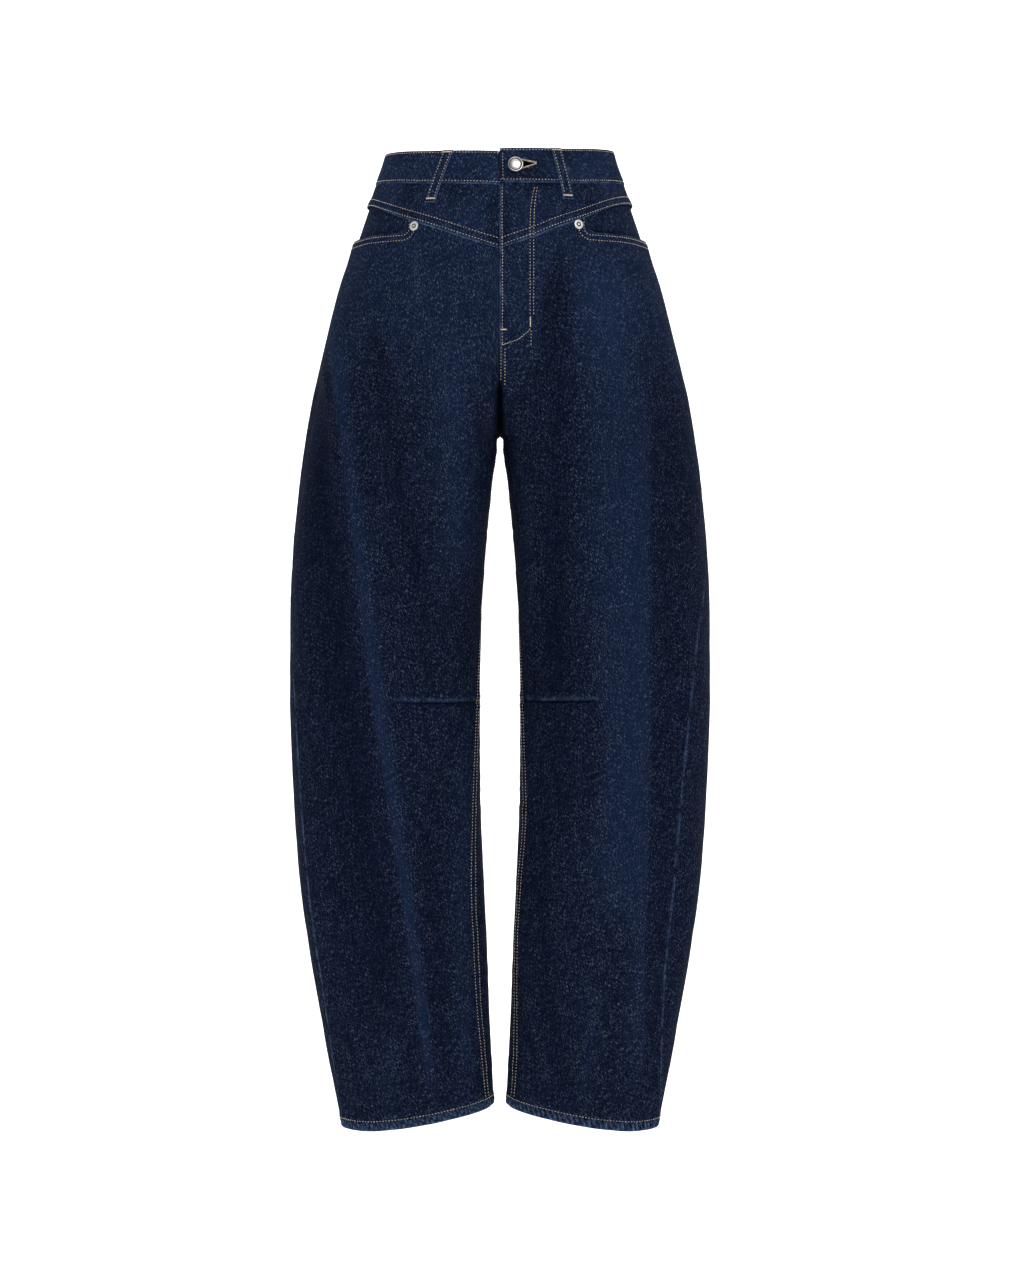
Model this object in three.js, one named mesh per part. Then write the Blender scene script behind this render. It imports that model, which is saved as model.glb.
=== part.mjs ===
// Barrel leg trousers of dark denim, standing open and hollow as if worn, in millimetres.
// +Z is up, +X is the wearer's left, and the front faces -Y.
// The origin is the centre of the waist opening, level with the waistband's top edge at the front.
// Each cut piece is a wall of cloth of its own, laid on one shared form and parted from the others at the seams.
import * as THREE from "three";

// Driving sizes
const DENIM_WALL = 1.6; // one layer of heavy denim
const BAND_WALL = 2.4; // the waistband, folded double
const YOKE_WALL = 2.2; // the yokes, with their lapped seam allowances
const LAP_START = 0.5; // share of a yoke's height at which the lapped allowance starts to thicken it
const LAP_RISE = 0.4; // and the share over which it does
const SEAM_GAP = 0.3; // between two pieces that are sewn together
const LAID_ON_GAP = 0.9; // between a panel and a piece that lies on it
const FORK = -288; // height of the crotch fork
const FRONT_RISE_BEND = -172; // where the front seam starts to curve under
const BACK_RISE_BEND = -150; // where the back seam starts to curve under
const HEM_DEPTH = 16; // turned-up hem
const HEM_EXTRA_WALL = 1.4; // the turned-up layer, on the inside
const FLY_WIDTH = 34; // from the front edge to the fly's curved stitching
const FLY_STEP = 1.5; // how far the fly's folded edge stands over the other front
const FLY_END = -190; // foot of the fly
const FLY_FLAT = 8; // width of the folded edge at its full height
const FLY_FADE = 25; // drop over which the fold dies out at the foot
const COMMON_TOP = -118; // below it, every panel shares the same level rows

const denim = new THREE.MeshStandardMaterial({ color: 0x1c2540, roughness: 0.9, metalness: 0 });
const nickel = new THREE.MeshStandardMaterial({ color: 0xc9c8c4, roughness: 0.3, metalness: 1 });

// Cross sections of one half, from the waistband's top to the hem.
// outer is the widest point and inner the leg's inner side, from the middle plane; front and back are depths;
// side is the depth of the widest point, and fill is the leg's superellipse exponent, rounder at 2.
const SECTIONS = [
  { z: 24, outer: 117, inner: 0, front: -88, back: 91, side: 2, fill: 3.2 },
  { z: 0, outer: 123, inner: 0, front: -93, back: 96, side: 2, fill: 3.2 },
  { z: -30, outer: 133.5, inner: 0, front: -99, back: 106, side: 3, fill: 3.2 },
  { z: -45, outer: 139, inner: 0, front: -102, back: 112, side: 3, fill: 3.2 },
  { z: -68, outer: 147, inner: 0, front: -105, back: 118, side: 4, fill: 3.2 },
  { z: -90, outer: 154.5, inner: 0, front: -108, back: 125, side: 5, fill: 3.2 },
  { z: -123, outer: 167.5, inner: 0, front: -111, back: 131, side: 6, fill: 3.2 },
  { z: -187, outer: 184.5, inner: 0, front: -114, back: 133, side: 7, fill: 3.2 },
  { z: -250, outer: 199.5, inner: 0, front: -112, back: 121, side: 6, fill: 3.1 },
  { z: -288, outer: 206, inner: 0, front: -110, back: 112, side: 5, fill: 3 },
  { z: -335, outer: 212.3, inner: 6.8, front: -108, back: 103, side: 4, fill: 2.8 },
  { z: -399, outer: 218.4, inner: 14, front: -103, back: 93, side: 2, fill: 2.6 },
  { z: -483, outer: 221.5, inner: 19.5, front: -97, back: 83, side: 0, fill: 2.45 },
  { z: -568, outer: 222.2, inner: 21.2, front: -91, back: 74, side: -2, fill: 2.4 },
  { z: -653, outer: 219.5, inner: 21, front: -84, back: 69, side: -2, fill: 2.35 },
  { z: -738, outer: 214, inner: 18, front: -76, back: 65, side: -1, fill: 2.3 },
  { z: -823, outer: 203.5, inner: 14, front: -67, back: 60, side: 0, fill: 2.3 },
  { z: -908, outer: 189, inner: 10.8, front: -58, back: 55, side: 0, fill: 2.25 },
  { z: -992, outer: 172.8, inner: 6.6, front: -51, back: 50, side: 0, fill: 2.2 },
  { z: -1022, outer: 167, inner: 5.4, front: -49, back: 48, side: 0, fill: 2.2 },
];
const HIP_FILL = 2.25; // superellipse exponent of the ring round both hips
const FORK_SPREAD = 0.8; // how much lower the leg closes for each millimetre away from its inner side
const FORK_ROUND = 34; // how far from the inner side the leg turns under sharply
// Just under the fork the inner sides stand apart by this much more, fading along the drop and round the leg.
const FORK_NOTCH = { half: 3.7, opens: 1.5, fades: 60, turn: 0.14 };

// The outer seam's place, as a share of the depth: forward of the widest point, or negative behind it.
const OUTER_SEAM = [
  { z: 24, right: -0.2, left: -0.2 },
  { z: -120, right: -0.2, left: -0.2 },
  { z: -250, right: -0.16, left: -0.13 },
  { z: -330, right: -0.1, left: 0.01 },
  { z: -437, right: 0.08, left: 0.36 },
  { z: -505, right: 0.25, left: 0.55 },
  { z: -587, right: 0.41, left: 0.65 },
  { z: -674, right: 0.45, left: 0.7 },
  { z: -757, right: 0.46, left: 0.72 },
  { z: -836, right: 0.45, left: 0.7 },
  { z: -901, right: 0.38, left: 0.63 },
  { z: -962, right: 0.32, left: 0.46 },
  { z: -1022, right: 0.28, left: 0.12 },
];

// The inner seam's place below the fork, in turns forward of the leg's inner side.
const INNER_SEAM = [
  { z: -300, right: 0, left: 0 },
  { z: -470, right: 0, left: 0.006 },
  { z: -570, right: 0.008, left: 0.016 },
  { z: -675, right: 0.05, left: 0.042 },
  { z: -820, right: 0.075, left: 0.014 },
  { z: -882, right: 0.068, left: 0.016 },
  { z: -945, right: 0.054, left: 0.036 },
  { z: -1022, right: 0.03, left: 0.02 },
];

// The waistband's two edges and the seams of the front and back yokes, against the distance round the body:
// turn is 0 at the centre front, 0.5 at the side and 1 at the centre back.
const BAND_EDGES = [
  { turn: 0, top: 0, foot: -36.5 },
  { turn: 0.25, top: 0.5, foot: -33.8 },
  { turn: 0.4, top: 4.5, foot: -27 },
  { turn: 0.5, top: 7.5, foot: -22.5 },
  { turn: 0.75, top: 15, foot: -17 },
  { turn: 1, top: 19, foot: -16 },
];
const BAND_MISMATCH = 1.2; // how much higher the buttoned end sits at the centre front, the other end lower
const MISMATCH_FADE = { drift: 0.25, stepUp: 0.05 }; // in turns, how far round it dies out
const BAND_OUT = 0.6; // how far the band stands over the yokes

// The front yoke's pointed lower edge, against the distance from the centre front.
const FRONT_YOKE = [
  { x: 0, right: -101.6, left: -101.6 },
  { x: 36, right: -90, left: -88.4 },
  { x: 59, right: -81.8, left: -78.4 },
  { x: 83, right: -73.3, left: -69.4 },
  { x: 103, right: -66, left: -60.7 },
  { x: 120, right: -58.5, left: -53.4 },
  { x: 139, right: -49, left: -47 },
  { x: 150, right: -46, left: -45 },
];
const BACK_YOKE_SIDE = -46; // the back yoke's lower edge at the outer seam
const BACK_YOKE_MIDDLE = -88; // and at the centre back
const BACK_YOKE_BOW = 0.9; // below 1 its edge sags a little towards the middle
const YOKE_LEVEL = -70; // where the front yoke's distances are measured
const PAST_SIDE = 150; // the distance that stands for anything behind the widest point

// The pocket mouth's corner by the rivet, and its edge from there to the outer seam.
const MOUTH_CORNER = { right: 93.5, left: 87 };
const MOUTH_EDGE = -83.5; // height of the edge beside the corner
const MOUTH_FALL = 4; // how much lower it is at the outer seam
const MOUTH_GAPE = 2.4; // how far the edge stands off at the side
const FACING_TAIL = 24; // how far the facing runs on behind the mouth
const FACING_GAP = 0.5; // between the panel and the facing behind it

// The hem's lower edge against the distance from the middle plane.
const HEM_EDGE = [
  { x: 0, z: -993 },
  { x: 18, z: -999.5 },
  { x: 52, z: -1007 },
  { x: 80, z: -1012.5 },
  { x: 110, z: -1017 },
  { x: 145, z: -1020 },
  { x: 175, z: -1019 },
];
const HEM_LEVEL = -1010; // the level row that becomes the hem
const HEM_TILT_START = -800; // above it the rows are level

// The largest folds. Each runs down a leg's front or back through three points,
// x from the middle plane; height is out of the cloth, negative in a valley, and width is its half width.
const FOLDS = [
  { leg: "right", face: -1, z: [-190, -450, -880], x: [167, 132, 77], height: 5.5, width: 15 },
  { leg: "right", face: -1, z: [-260, -480, -850], x: [190, 154, 128], height: -4.5, width: 17 },
  { leg: "right", face: -1, z: [-280, -420, -560], x: [112, 87, 58], height: -4, width: 12 },
  { leg: "right", face: -1, z: [-730, -840, -960], x: [62, 58, 56], height: -2.5, width: 13 },
  { leg: "left", face: -1, z: [-120, -470, -850], x: [55, 49, 65], height: -4.5, width: 16 },
  { leg: "left", face: -1, z: [-780, -880, -960], x: [24, 45, 63], height: -3.5, width: 10 },
  { leg: "left", face: -1, z: [-190, -500, -900], x: [102, 137, 145], height: 4, width: 22 },
  { leg: "right", face: 1, z: [-300, -520, -860], x: [150, 128, 96], height: 4, width: 18 },
  { leg: "right", face: 1, z: [-310, -450, -620], x: [70, 78, 66], height: -4, width: 15 },
  { leg: "left", face: 1, z: [-320, -560, -900], x: [148, 140, 118], height: 3.5, width: 20 },
  { leg: "left", face: 1, z: [-330, -500, -780], x: [60, 74, 82], height: -4.5, width: 15 },
];

// Knee darts: a stitched line across the inner front of each leg.
const KNEE_DART = { right: { z: -573, end: 107 }, left: { z: -568, end: 107 } };
const DART_DEPTH = 1.3;
const DART_SPREAD = 5;
const DART_FADE = 20; // length over which its outer end dies out

const BACK_POCKET = {
  top: -112,
  slant: 5,
  inner: 30,
  outer: 124,
  sideLength: 118,
  pointLength: 138,
  taper: 11,
};
const BELT_LOOPS = [
  { name: "belt_loop_front_right", leg: "right", face: -1, topX: 56, footX: 71, reach: 20 },
  { name: "belt_loop_front_left", leg: "left", face: -1, topX: 61, footX: 70, reach: 17 },
  { name: "belt_loop_back_right", leg: "right", face: 1, topX: 78, footX: 80, reach: 19 },
  { name: "belt_loop_back_left", leg: "left", face: 1, topX: 78, footX: 80, reach: 19 },
  { name: "belt_loop_back_centre", leg: "left", face: 1, topX: 0, footX: 0, reach: 19 },
];
const LOOP_WIDTH = 9.5;
const LOOP_WALL = 2;
const LOOP_SLACK = 1.6; // how far a loop bows off the waistband between its two ends
const LOOP_DROP = 0.5; // from the waistband's top edge to the loop's
const LOOP_LEVELS = { top: -20, foot: -50 }; // where the loops' distances from the middle are measured

const BUTTON = { x: 16, z: -16.5, radius: 8, thick: 2.2, shankRadius: 3.5, stand: 1.4 };
const RIVET = { right: { x: 88, z: -77.9 }, left: { x: 81.2, z: -76.5 }, radius: 5, thick: 1.6 };

const SIGN = { right: -1, left: 1 };
const SIDE_CLEAR = 0.0004; // in turns, half the gap at the outer seam
const MIDDLE_PLANE_END = FORK - 4; // above it each half keeps to its own side of the middle plane

// Smooth curve through a table's rows, with no overshoot: a monotone cubic in the given columns.
function tableCurve(rows, along, column) {
  const at = rows.map((row) => row[along]);
  const value = rows.map((row) => row[column]);
  const last = rows.length - 1;
  const slope = [];
  for (let i = 0; i < last; i++) slope.push((value[i + 1] - value[i]) / (at[i + 1] - at[i]));
  const tangent = [slope[0]];
  for (let i = 1; i < last; i++) {
    const sameWay = slope[i - 1] * slope[i] > 0;
    tangent.push(sameWay ? (2 * slope[i - 1] * slope[i]) / (slope[i - 1] + slope[i]) : 0);
  }
  tangent.push(slope[last - 1]);
  const direction = Math.sign(at[last] - at[0]);
  return (where) => {
    let i = 0;
    while (i < last - 1 && (where - at[i + 1]) * direction > 0) i++;
    const span = at[i + 1] - at[i];
    const t = Math.min(Math.max((where - at[i]) / span, 0), 1);
    const rise = t * t * (3 - 2 * t);
    return (
      value[i] * (1 - rise) +
      value[i + 1] * rise +
      span * (tangent[i] * t * (1 - t) ** 2 + tangent[i + 1] * t * t * (t - 1))
    );
  };
}

const measureNames = ["outer", "inner", "front", "back", "side", "fill"];
const curves = (rows, along, columns) =>
  Object.fromEntries(columns.map((column) => [column, tableCurve(rows, along, column)]));
const seamForward = curves(OUTER_SEAM, "z", ["right", "left"]);
const innerForward = curves(INNER_SEAM, "z", ["right", "left"]);
const bandCurve = curves(BAND_EDGES, "turn", ["top", "foot"]);
const frontYokeEdge = curves(FRONT_YOKE, "x", ["right", "left"]);
const hemEdge = tableCurve(HEM_EDGE, "x", "z");
const measures = curves(SECTIONS, "z", measureNames);

function smooth(t) {
  const u = Math.min(Math.max(t, 0), 1);
  return u * u * (3 - 2 * u);
}

// Height of the waistband's top or foot, on one side of the middle. The right end steps up to meet the left
// one just at the centre front, where it passes under.
function bandEdge(edge, leg, turn) {
  const drift = SIGN[leg] * BAND_MISMATCH * (1 - smooth(turn / MISMATCH_FADE.drift));
  const stepUp = leg === "right" ? 2 * BAND_MISMATCH * (1 - smooth(turn / MISMATCH_FADE.stepUp)) : 0;
  return bandCurve[edge](turn) + drift + stepUp;
}

// The measures at one height, worked out once for each height that is asked for.
const sectionCache = new Map();
function sectionAt(z) {
  if (!sectionCache.has(z)) {
    sectionCache.set(z, Object.fromEntries(measureNames.map((name) => [name, measures[name](z)])));
  }
  return sectionCache.get(z);
}

// How far the hips' single ring has given way to the leg's own ring, fromInner away from the leg's inner
// side: a quarter ellipse down to the fork at the inner side itself, and an easy S further out.
function legShare(z, bend, fromInner) {
  const close = FORK - FORK_SPREAD * fromInner;
  const t = Math.min(Math.max((bend - z) / (bend - close), 0), 1);
  return 1 - (1 - t * t) ** (0.5 + 1.5 * smooth(fromInner / FORK_ROUND));
}

function notchAt(z) {
  const drop = Math.max(FORK - z, 0);
  return FORK_NOTCH.half * (1 - Math.exp(-drop / FORK_NOTCH.opens)) * Math.exp(-drop / FORK_NOTCH.fades);
}

// A point of the form without folds. turn goes from 0 at the centre front or inner leg, by way of the front
// to 0.5 at the widest point, and by way of the back to 1 at the centre back or inner leg.
function bareForm(turn, z) {
  if (turn < 0 || turn > 1) {
    const inside = turn < 0 ? turn + 1 : turn - 1;
    if (z <= FORK) return bareForm(inside, z);
    const mirrored = bareForm(turn < 0 ? -turn : 2 - turn, z);
    mirrored.x *= -1;
    return mirrored;
  }
  const m = sectionAt(z);
  const front = turn < 0.5;
  const depth = (front ? m.front : m.back) - m.side;
  const half = (m.outer - m.inner) / 2;
  const across = Math.cos(2 * Math.PI * turn);
  const through = Math.abs(Math.sin(2 * Math.PI * turn));
  const radius = (Math.abs(across) ** m.fill + through ** m.fill) ** (-1 / m.fill);
  const notch = notchAt(z);
  const notchHere = notch * (1 - smooth(Math.min(turn, 1 - turn) / FORK_NOTCH.turn));
  const x = m.outer - half - half * across * radius + notchHere;
  const legY = depth * through * radius;
  const hipY = depth * Math.max(0, 1 - (x / m.outer) ** HIP_FILL) ** (1 / HIP_FILL);
  const share = legShare(z, front ? FRONT_RISE_BEND : BACK_RISE_BEND, x - m.inner - notch);
  return new THREE.Vector3(x, m.side + hipY + (legY - hipY) * share, z);
}

const TURN_STEP = 0.004;
const HEIGHT_STEP = 0.8;
function facingAt(turn, z) {
  const along = bareForm(turn + TURN_STEP, z).sub(bareForm(turn - TURN_STEP, z));
  const up = bareForm(turn, z + HEIGHT_STEP).sub(bareForm(turn, z - HEIGHT_STEP));
  return along.cross(up).normalize();
}

// The outward direction. At the fork itself it is the mean of those just above and below.
function outward(turn, z) {
  if (Math.abs(z - FORK) > 0.5) return facingAt(turn, z);
  return facingAt(turn, z + 1).add(facingAt(turn, z - 1)).normalize();
}

// A fold's path and its fading in and out along its length.
const foldPaths = FOLDS.map((fold) => {
  const rows = fold.z.map((z, i) => ({ z, x: fold.x[i] }));
  return { ...fold, path: tableCurve(rows, "z", "x") };
});
const FOLD_FADE = 90;
const FOLD_LEAD = 40; // how far past its two end points a fold starts and stops
const FOLD_CLEAR = 0.06; // in turns, how far from the middle and the side every fold lies flat
function foldHeight(leg, face, x, z) {
  let sum = 0;
  for (const fold of foldPaths) {
    if (fold.leg !== leg || fold.face !== face) continue;
    const [top, , foot] = fold.z;
    const fade = smooth((top + FOLD_LEAD - z) / FOLD_FADE) * smooth((z - foot + FOLD_LEAD) / FOLD_FADE);
    const off = (x - fold.path(Math.min(Math.max(z, foot), top))) / fold.width;
    sum += fold.height * fade * Math.exp(-off * off);
  }
  return sum;
}

function dartDepth(leg, x, z) {
  const dart = KNEE_DART[leg];
  const across = smooth((dart.end - x) / DART_FADE);
  const near = Math.max(0, 1 - Math.abs(z - dart.z) / DART_SPREAD);
  return DART_DEPTH * across * near;
}

// A place on the garment's outer face, with its outward direction.
function place(leg, turn, z) {
  const point = bareForm(turn, z);
  const normal = outward(turn, z);
  const round = turn > 1 ? turn - 1 : turn;
  const face = round < 0.5 ? -1 : 1;
  const flat = smooth(Math.min(round, 1 - round, Math.abs(round - 0.5)) / FOLD_CLEAR);
  point.addScaledVector(normal, foldHeight(leg, face, point.x, z) * flat);
  return { point, normal };
}

// The turn at which the form is x from the middle plane, on the front (face -1) or the back (face 1).
function turnAt(x, z, face) {
  let low = 0;
  let high = 0.5;
  for (let i = 0; i < 40; i++) {
    const middle = (low + high) / 2;
    const turn = face < 0 ? middle : 1 - middle;
    if (bareForm(turn, z).x < x) low = middle;
    else high = middle;
  }
  return face < 0 ? low : 1 - low;
}

// The turn of the outer seam: where the form's depth is the seam's share, in the outer quarter.
const seamCache = { right: new Map(), left: new Map() };
function outerSeamTurn(leg, z) {
  if (!seamCache[leg].has(z)) {
    const share = seamForward[leg](z);
    const m = sectionAt(z);
    const depth = (share > 0 ? m.front : m.back) - m.side;
    let near = 0.5;
    let far = share > 0 ? 0.25 : 0.75;
    for (let i = 0; i < 30; i++) {
      const middle = (near + far) / 2;
      if ((bareForm(middle, z).y - m.side) / depth < Math.abs(share)) near = middle;
      else far = middle;
    }
    seamCache[leg].set(z, near);
  }
  return seamCache[leg].get(z);
}

// How far inside the middle plane's turn a half starts, so that its wall stays just clear of the plane.
function middleClear(z, face) {
  const m = sectionAt(z);
  const depth = face < 0 ? m.side - m.front : m.back - m.side;
  if (z <= FORK) return SEAM_GAP / 2 / (2 * Math.PI * depth);
  return face < 0 ? turnAt(SEAM_GAP / 2, z, face) : 1 - turnAt(SEAM_GAP / 2, z, face);
}

// The same point set as a wall: out moves the outer face outwards and thick is the wall below it.
function layer(leg, turn, z, out, thick) {
  const { point, normal } = place(leg, turn, z);
  const outer = point.clone().addScaledVector(normal, out);
  const inner = point.clone().addScaledVector(normal, out - thick);
  if (turn >= 0 && turn <= 1 && z > MIDDLE_PLANE_END) {
    inner.x = Math.max(inner.x, SEAM_GAP / 2);
    outer.x = Math.max(outer.x, SEAM_GAP / 2);
  }
  for (const p of [outer, inner]) p.x *= SIGN[leg];
  return { outer, inner };
}

// A closed solid from a grid of paired points: the outer face, the inner face and the four edges.
function wallMesh(name, material, leg, grid) {
  const rows = grid.length;
  const columns = grid[0].length;
  const positions = [];
  for (const side of ["outer", "inner"]) {
    for (const row of grid) for (const cell of row) positions.push(...cell[side].toArray());
  }
  const at = (side, i, j) => side * rows * columns + i * columns + j;
  const index = [];
  const quad = (a, b, c, d) => index.push(a, b, c, a, c, d);
  for (let i = 0; i < rows - 1; i++) {
    for (let j = 0; j < columns - 1; j++) {
      quad(at(0, i, j), at(0, i + 1, j), at(0, i + 1, j + 1), at(0, i, j + 1));
      quad(at(1, i, j), at(1, i, j + 1), at(1, i + 1, j + 1), at(1, i + 1, j));
    }
  }
  for (let j = 0; j < columns - 1; j++) {
    quad(at(0, 0, j), at(0, 0, j + 1), at(1, 0, j + 1), at(1, 0, j));
    quad(at(0, rows - 1, j + 1), at(0, rows - 1, j), at(1, rows - 1, j), at(1, rows - 1, j + 1));
  }
  for (let i = 0; i < rows - 1; i++) {
    quad(at(0, i + 1, 0), at(0, i, 0), at(1, i, 0), at(1, i + 1, 0));
    quad(at(0, i, columns - 1), at(0, i + 1, columns - 1), at(1, i + 1, columns - 1), at(1, i, columns - 1));
  }
  if (leg === "right") {
    for (let k = 0; k < index.length; k += 3) [index[k + 1], index[k + 2]] = [index[k + 2], index[k + 1]];
  }
  const geometry = new THREE.BufferGeometry();
  geometry.setAttribute("position", new THREE.Float32BufferAttribute(positions, 3));
  geometry.setIndex(index);
  geometry.computeVertexNormals();
  const mesh = new THREE.Mesh(geometry, material);
  mesh.name = name;
  return mesh;
}

function range(count) {
  return Array.from({ length: count + 1 }, (_, i) => i / count);
}

const trousers = new THREE.Group();

// Columns of the front pieces, as shares of the way from the centre front to the outer seam.
// Two of them stand at the pocket mouth's corner, so that yoke, panel and facing share one set.
const FRONT_COLUMNS = 18;
const MOUTH_STEP = 6.5; // width of the mouth's corner
function frontColumns(leg) {
  const share = (x) => turnAt(x, MOUTH_EDGE, -1) / outerSeamTurn(leg, MOUTH_EDGE);
  const corner = share(MOUTH_CORNER[leg]);
  const step = share(MOUTH_CORNER[leg] + MOUTH_STEP);
  const before = Math.round(FRONT_COLUMNS * corner);
  const after = FRONT_COLUMNS - before - 1;
  const inside = range(before).map((t) => t * corner);
  const beyond = range(after).map((t) => step + t * (1 - step));
  return { shares: [...inside, ...beyond], corner: before };
}

// The pocket mouth's edge at a share of the way, and the yoke's lower edge at a turn.
function yokeFoot(leg, turn) {
  const x = turn < 0.5 ? bareForm(turn, YOKE_LEVEL).x : PAST_SIDE;
  return frontYokeEdge[leg](x);
}
function mouthEdge(share, cornerShare) {
  return MOUTH_EDGE - MOUTH_FALL * ((share - cornerShare) / (1 - cornerShare));
}

// How far the fly's folded front stands out, on the left front only.
function flyLift(leg, x, z) {
  if (leg !== "left") return 0;
  return FLY_STEP * (1 - smooth((x - FLY_FLAT) / (FLY_WIDTH - FLY_FLAT))) * smooth((z - FLY_END) / FLY_FADE);
}

// The level rows that all four leg panels share, thickest near the fork, the knee darts and the hem.
const LEVELS = [
  -118, -136, -156, -178, -202, -226, -248, -266, -279, -286, FORK, -291, -297, -310, -335, -366, -400,
  -436, -472, -508, -542, -563, -568, -573, -578, -600, -634, -670, -706, -742, -778, -814, -850, -886, -922,
  -958, HEM_LEVEL + HEM_DEPTH + 4, HEM_LEVEL + HEM_DEPTH, HEM_LEVEL,
];

// A level row's true height at one place: the lowest rows follow the curved hem.
function rowHeight(level, x) {
  return level + (hemEdge(x) - HEM_LEVEL) * smooth((HEM_TILT_START - level) / (HEM_TILT_START - HEM_LEVEL));
}

function legCell(leg, turn, level) {
  const x = bareForm(turn, level).x;
  const z = rowHeight(level, x);
  const inHem = level < HEM_LEVEL + HEM_DEPTH + 1;
  const thick = DENIM_WALL + (inHem ? HEM_EXTRA_WALL : 0);
  const lift = turn < 0.5 ? flyLift(leg, x, z) : 0;
  const dart = turn < 0.5 && z < FORK ? dartDepth(leg, x, z) : 0;
  return layer(leg, turn, z, lift - dart, thick + lift);
}

// The turn at a share of the way across a front piece, from the middle to the outer seam,
// or across a back piece, from the outer seam to the middle. Only the last columns give way at the middle plane.
const MIDDLE_COLUMNS = 0.12; // share of the width
function turnAcross(leg, face, share, z) {
  const seam = outerSeamTurn(leg, z) + face * SIDE_CLEAR;
  const forward = z <= FORK ? innerForward[leg](z) : 0;
  const fromMiddle = face < 0 ? share : 1 - share;
  const middle = face < 0 ? forward : 1 + forward;
  const clear = middleClear(z, face) * (1 - smooth(fromMiddle / MIDDLE_COLUMNS));
  return middle + (seam - middle) * fromMiddle - face * clear;
}

function frontLeg(leg) {
  const { shares, corner } = frontColumns(leg);
  const topRows = [0, 0.12, 0.4, 0.7];
  const grid = topRows.map((down) =>
    shares.map((share, j) => {
      const open = j > corner;
      const near = turnAcross(leg, -1, share, MOUTH_EDGE);
      const top = (open ? mouthEdge(share, shares[corner]) : yokeFoot(leg, near)) - SEAM_GAP / 2;
      const z = top + (COMMON_TOP - top) * down;
      const turn = turnAcross(leg, -1, share, z);
      const gape = open ? MOUTH_GAPE * smooth((j - corner) / 4) * (1 - smooth(down / 0.95)) : 0;
      const lift = flyLift(leg, bareForm(turn, z).x, z);
      return layer(leg, turn, z, gape + lift, DENIM_WALL + lift);
    }),
  );
  for (const level of LEVELS) {
    grid.push(shares.map((share) => legCell(leg, turnAcross(leg, -1, share, level), level)));
  }
  return wallMesh(`front_leg_${leg}`, denim, leg, grid);
}

const BACK_COLUMNS = 14;
function backLeg(leg) {
  const shares = range(BACK_COLUMNS);
  const topRows = [0, 0.35, 0.7];
  const grid = topRows.map((down) =>
    shares.map((share) => {
      const top = backYokeFoot(share) - SEAM_GAP / 2;
      const z = top + (COMMON_TOP - top) * down;
      return layer(leg, turnAcross(leg, 1, share, z), z, 0, DENIM_WALL);
    }),
  );
  for (const level of LEVELS) {
    grid.push(shares.map((share) => legCell(leg, turnAcross(leg, 1, share, level), level)));
  }
  return wallMesh(`back_leg_${leg}`, denim, leg, grid);
}

function backYokeFoot(share) {
  return BACK_YOKE_SIDE + (BACK_YOKE_MIDDLE - BACK_YOKE_SIDE) * smooth(share) ** BACK_YOKE_BOW;
}

// A yoke fills between the waistband's foot and its own lower edge.
function yoke(leg, face) {
  const shares = face < 0 ? frontColumns(leg).shares : range(BACK_COLUMNS);
  const grid = range(4).map((down) =>
    shares.map((share) => {
      const near = turnAcross(leg, face, share, face < 0 ? MOUTH_EDGE : BACK_YOKE_SIDE);
      const top = bandEdge("foot", leg, near) - SEAM_GAP / 2;
      const foot = (face < 0 ? yokeFoot(leg, near) : backYokeFoot(share)) + SEAM_GAP / 2;
      const z = top + (foot - top) * down;
      const turn = turnAcross(leg, face, share, z);
      const lapped = (YOKE_WALL - DENIM_WALL) * smooth((down - LAP_START) / LAP_RISE);
      const lift = face < 0 ? flyLift(leg, bareForm(turn, z).x, z) : 0;
      return layer(leg, turn, z, lapped + lift, DENIM_WALL + lapped + lift);
    }),
  );
  return wallMesh(`${face < 0 ? "front" : "back"}_yoke_${leg}`, denim, leg, grid);
}

// The hip facing lies behind the pocket mouth and runs on below its edge.
function pocketFacing(leg) {
  const { shares, corner } = frontColumns(leg);
  const used = shares.slice(corner - 1);
  const behind = -(DENIM_WALL + FACING_GAP);
  const grid = range(5).map((down) =>
    used.map((share) => {
      const near = turnAcross(leg, -1, share, MOUTH_EDGE);
      const top = yokeFoot(leg, near) - SEAM_GAP / 2;
      const foot = mouthEdge(share, shares[corner]) - FACING_TAIL;
      const z = top + (foot - top) * down;
      return layer(leg, turnAcross(leg, -1, share, z), z, behind, DENIM_WALL);
    }),
  );
  return wallMesh(`pocket_facing_${leg}`, denim, leg, grid);
}

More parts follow.
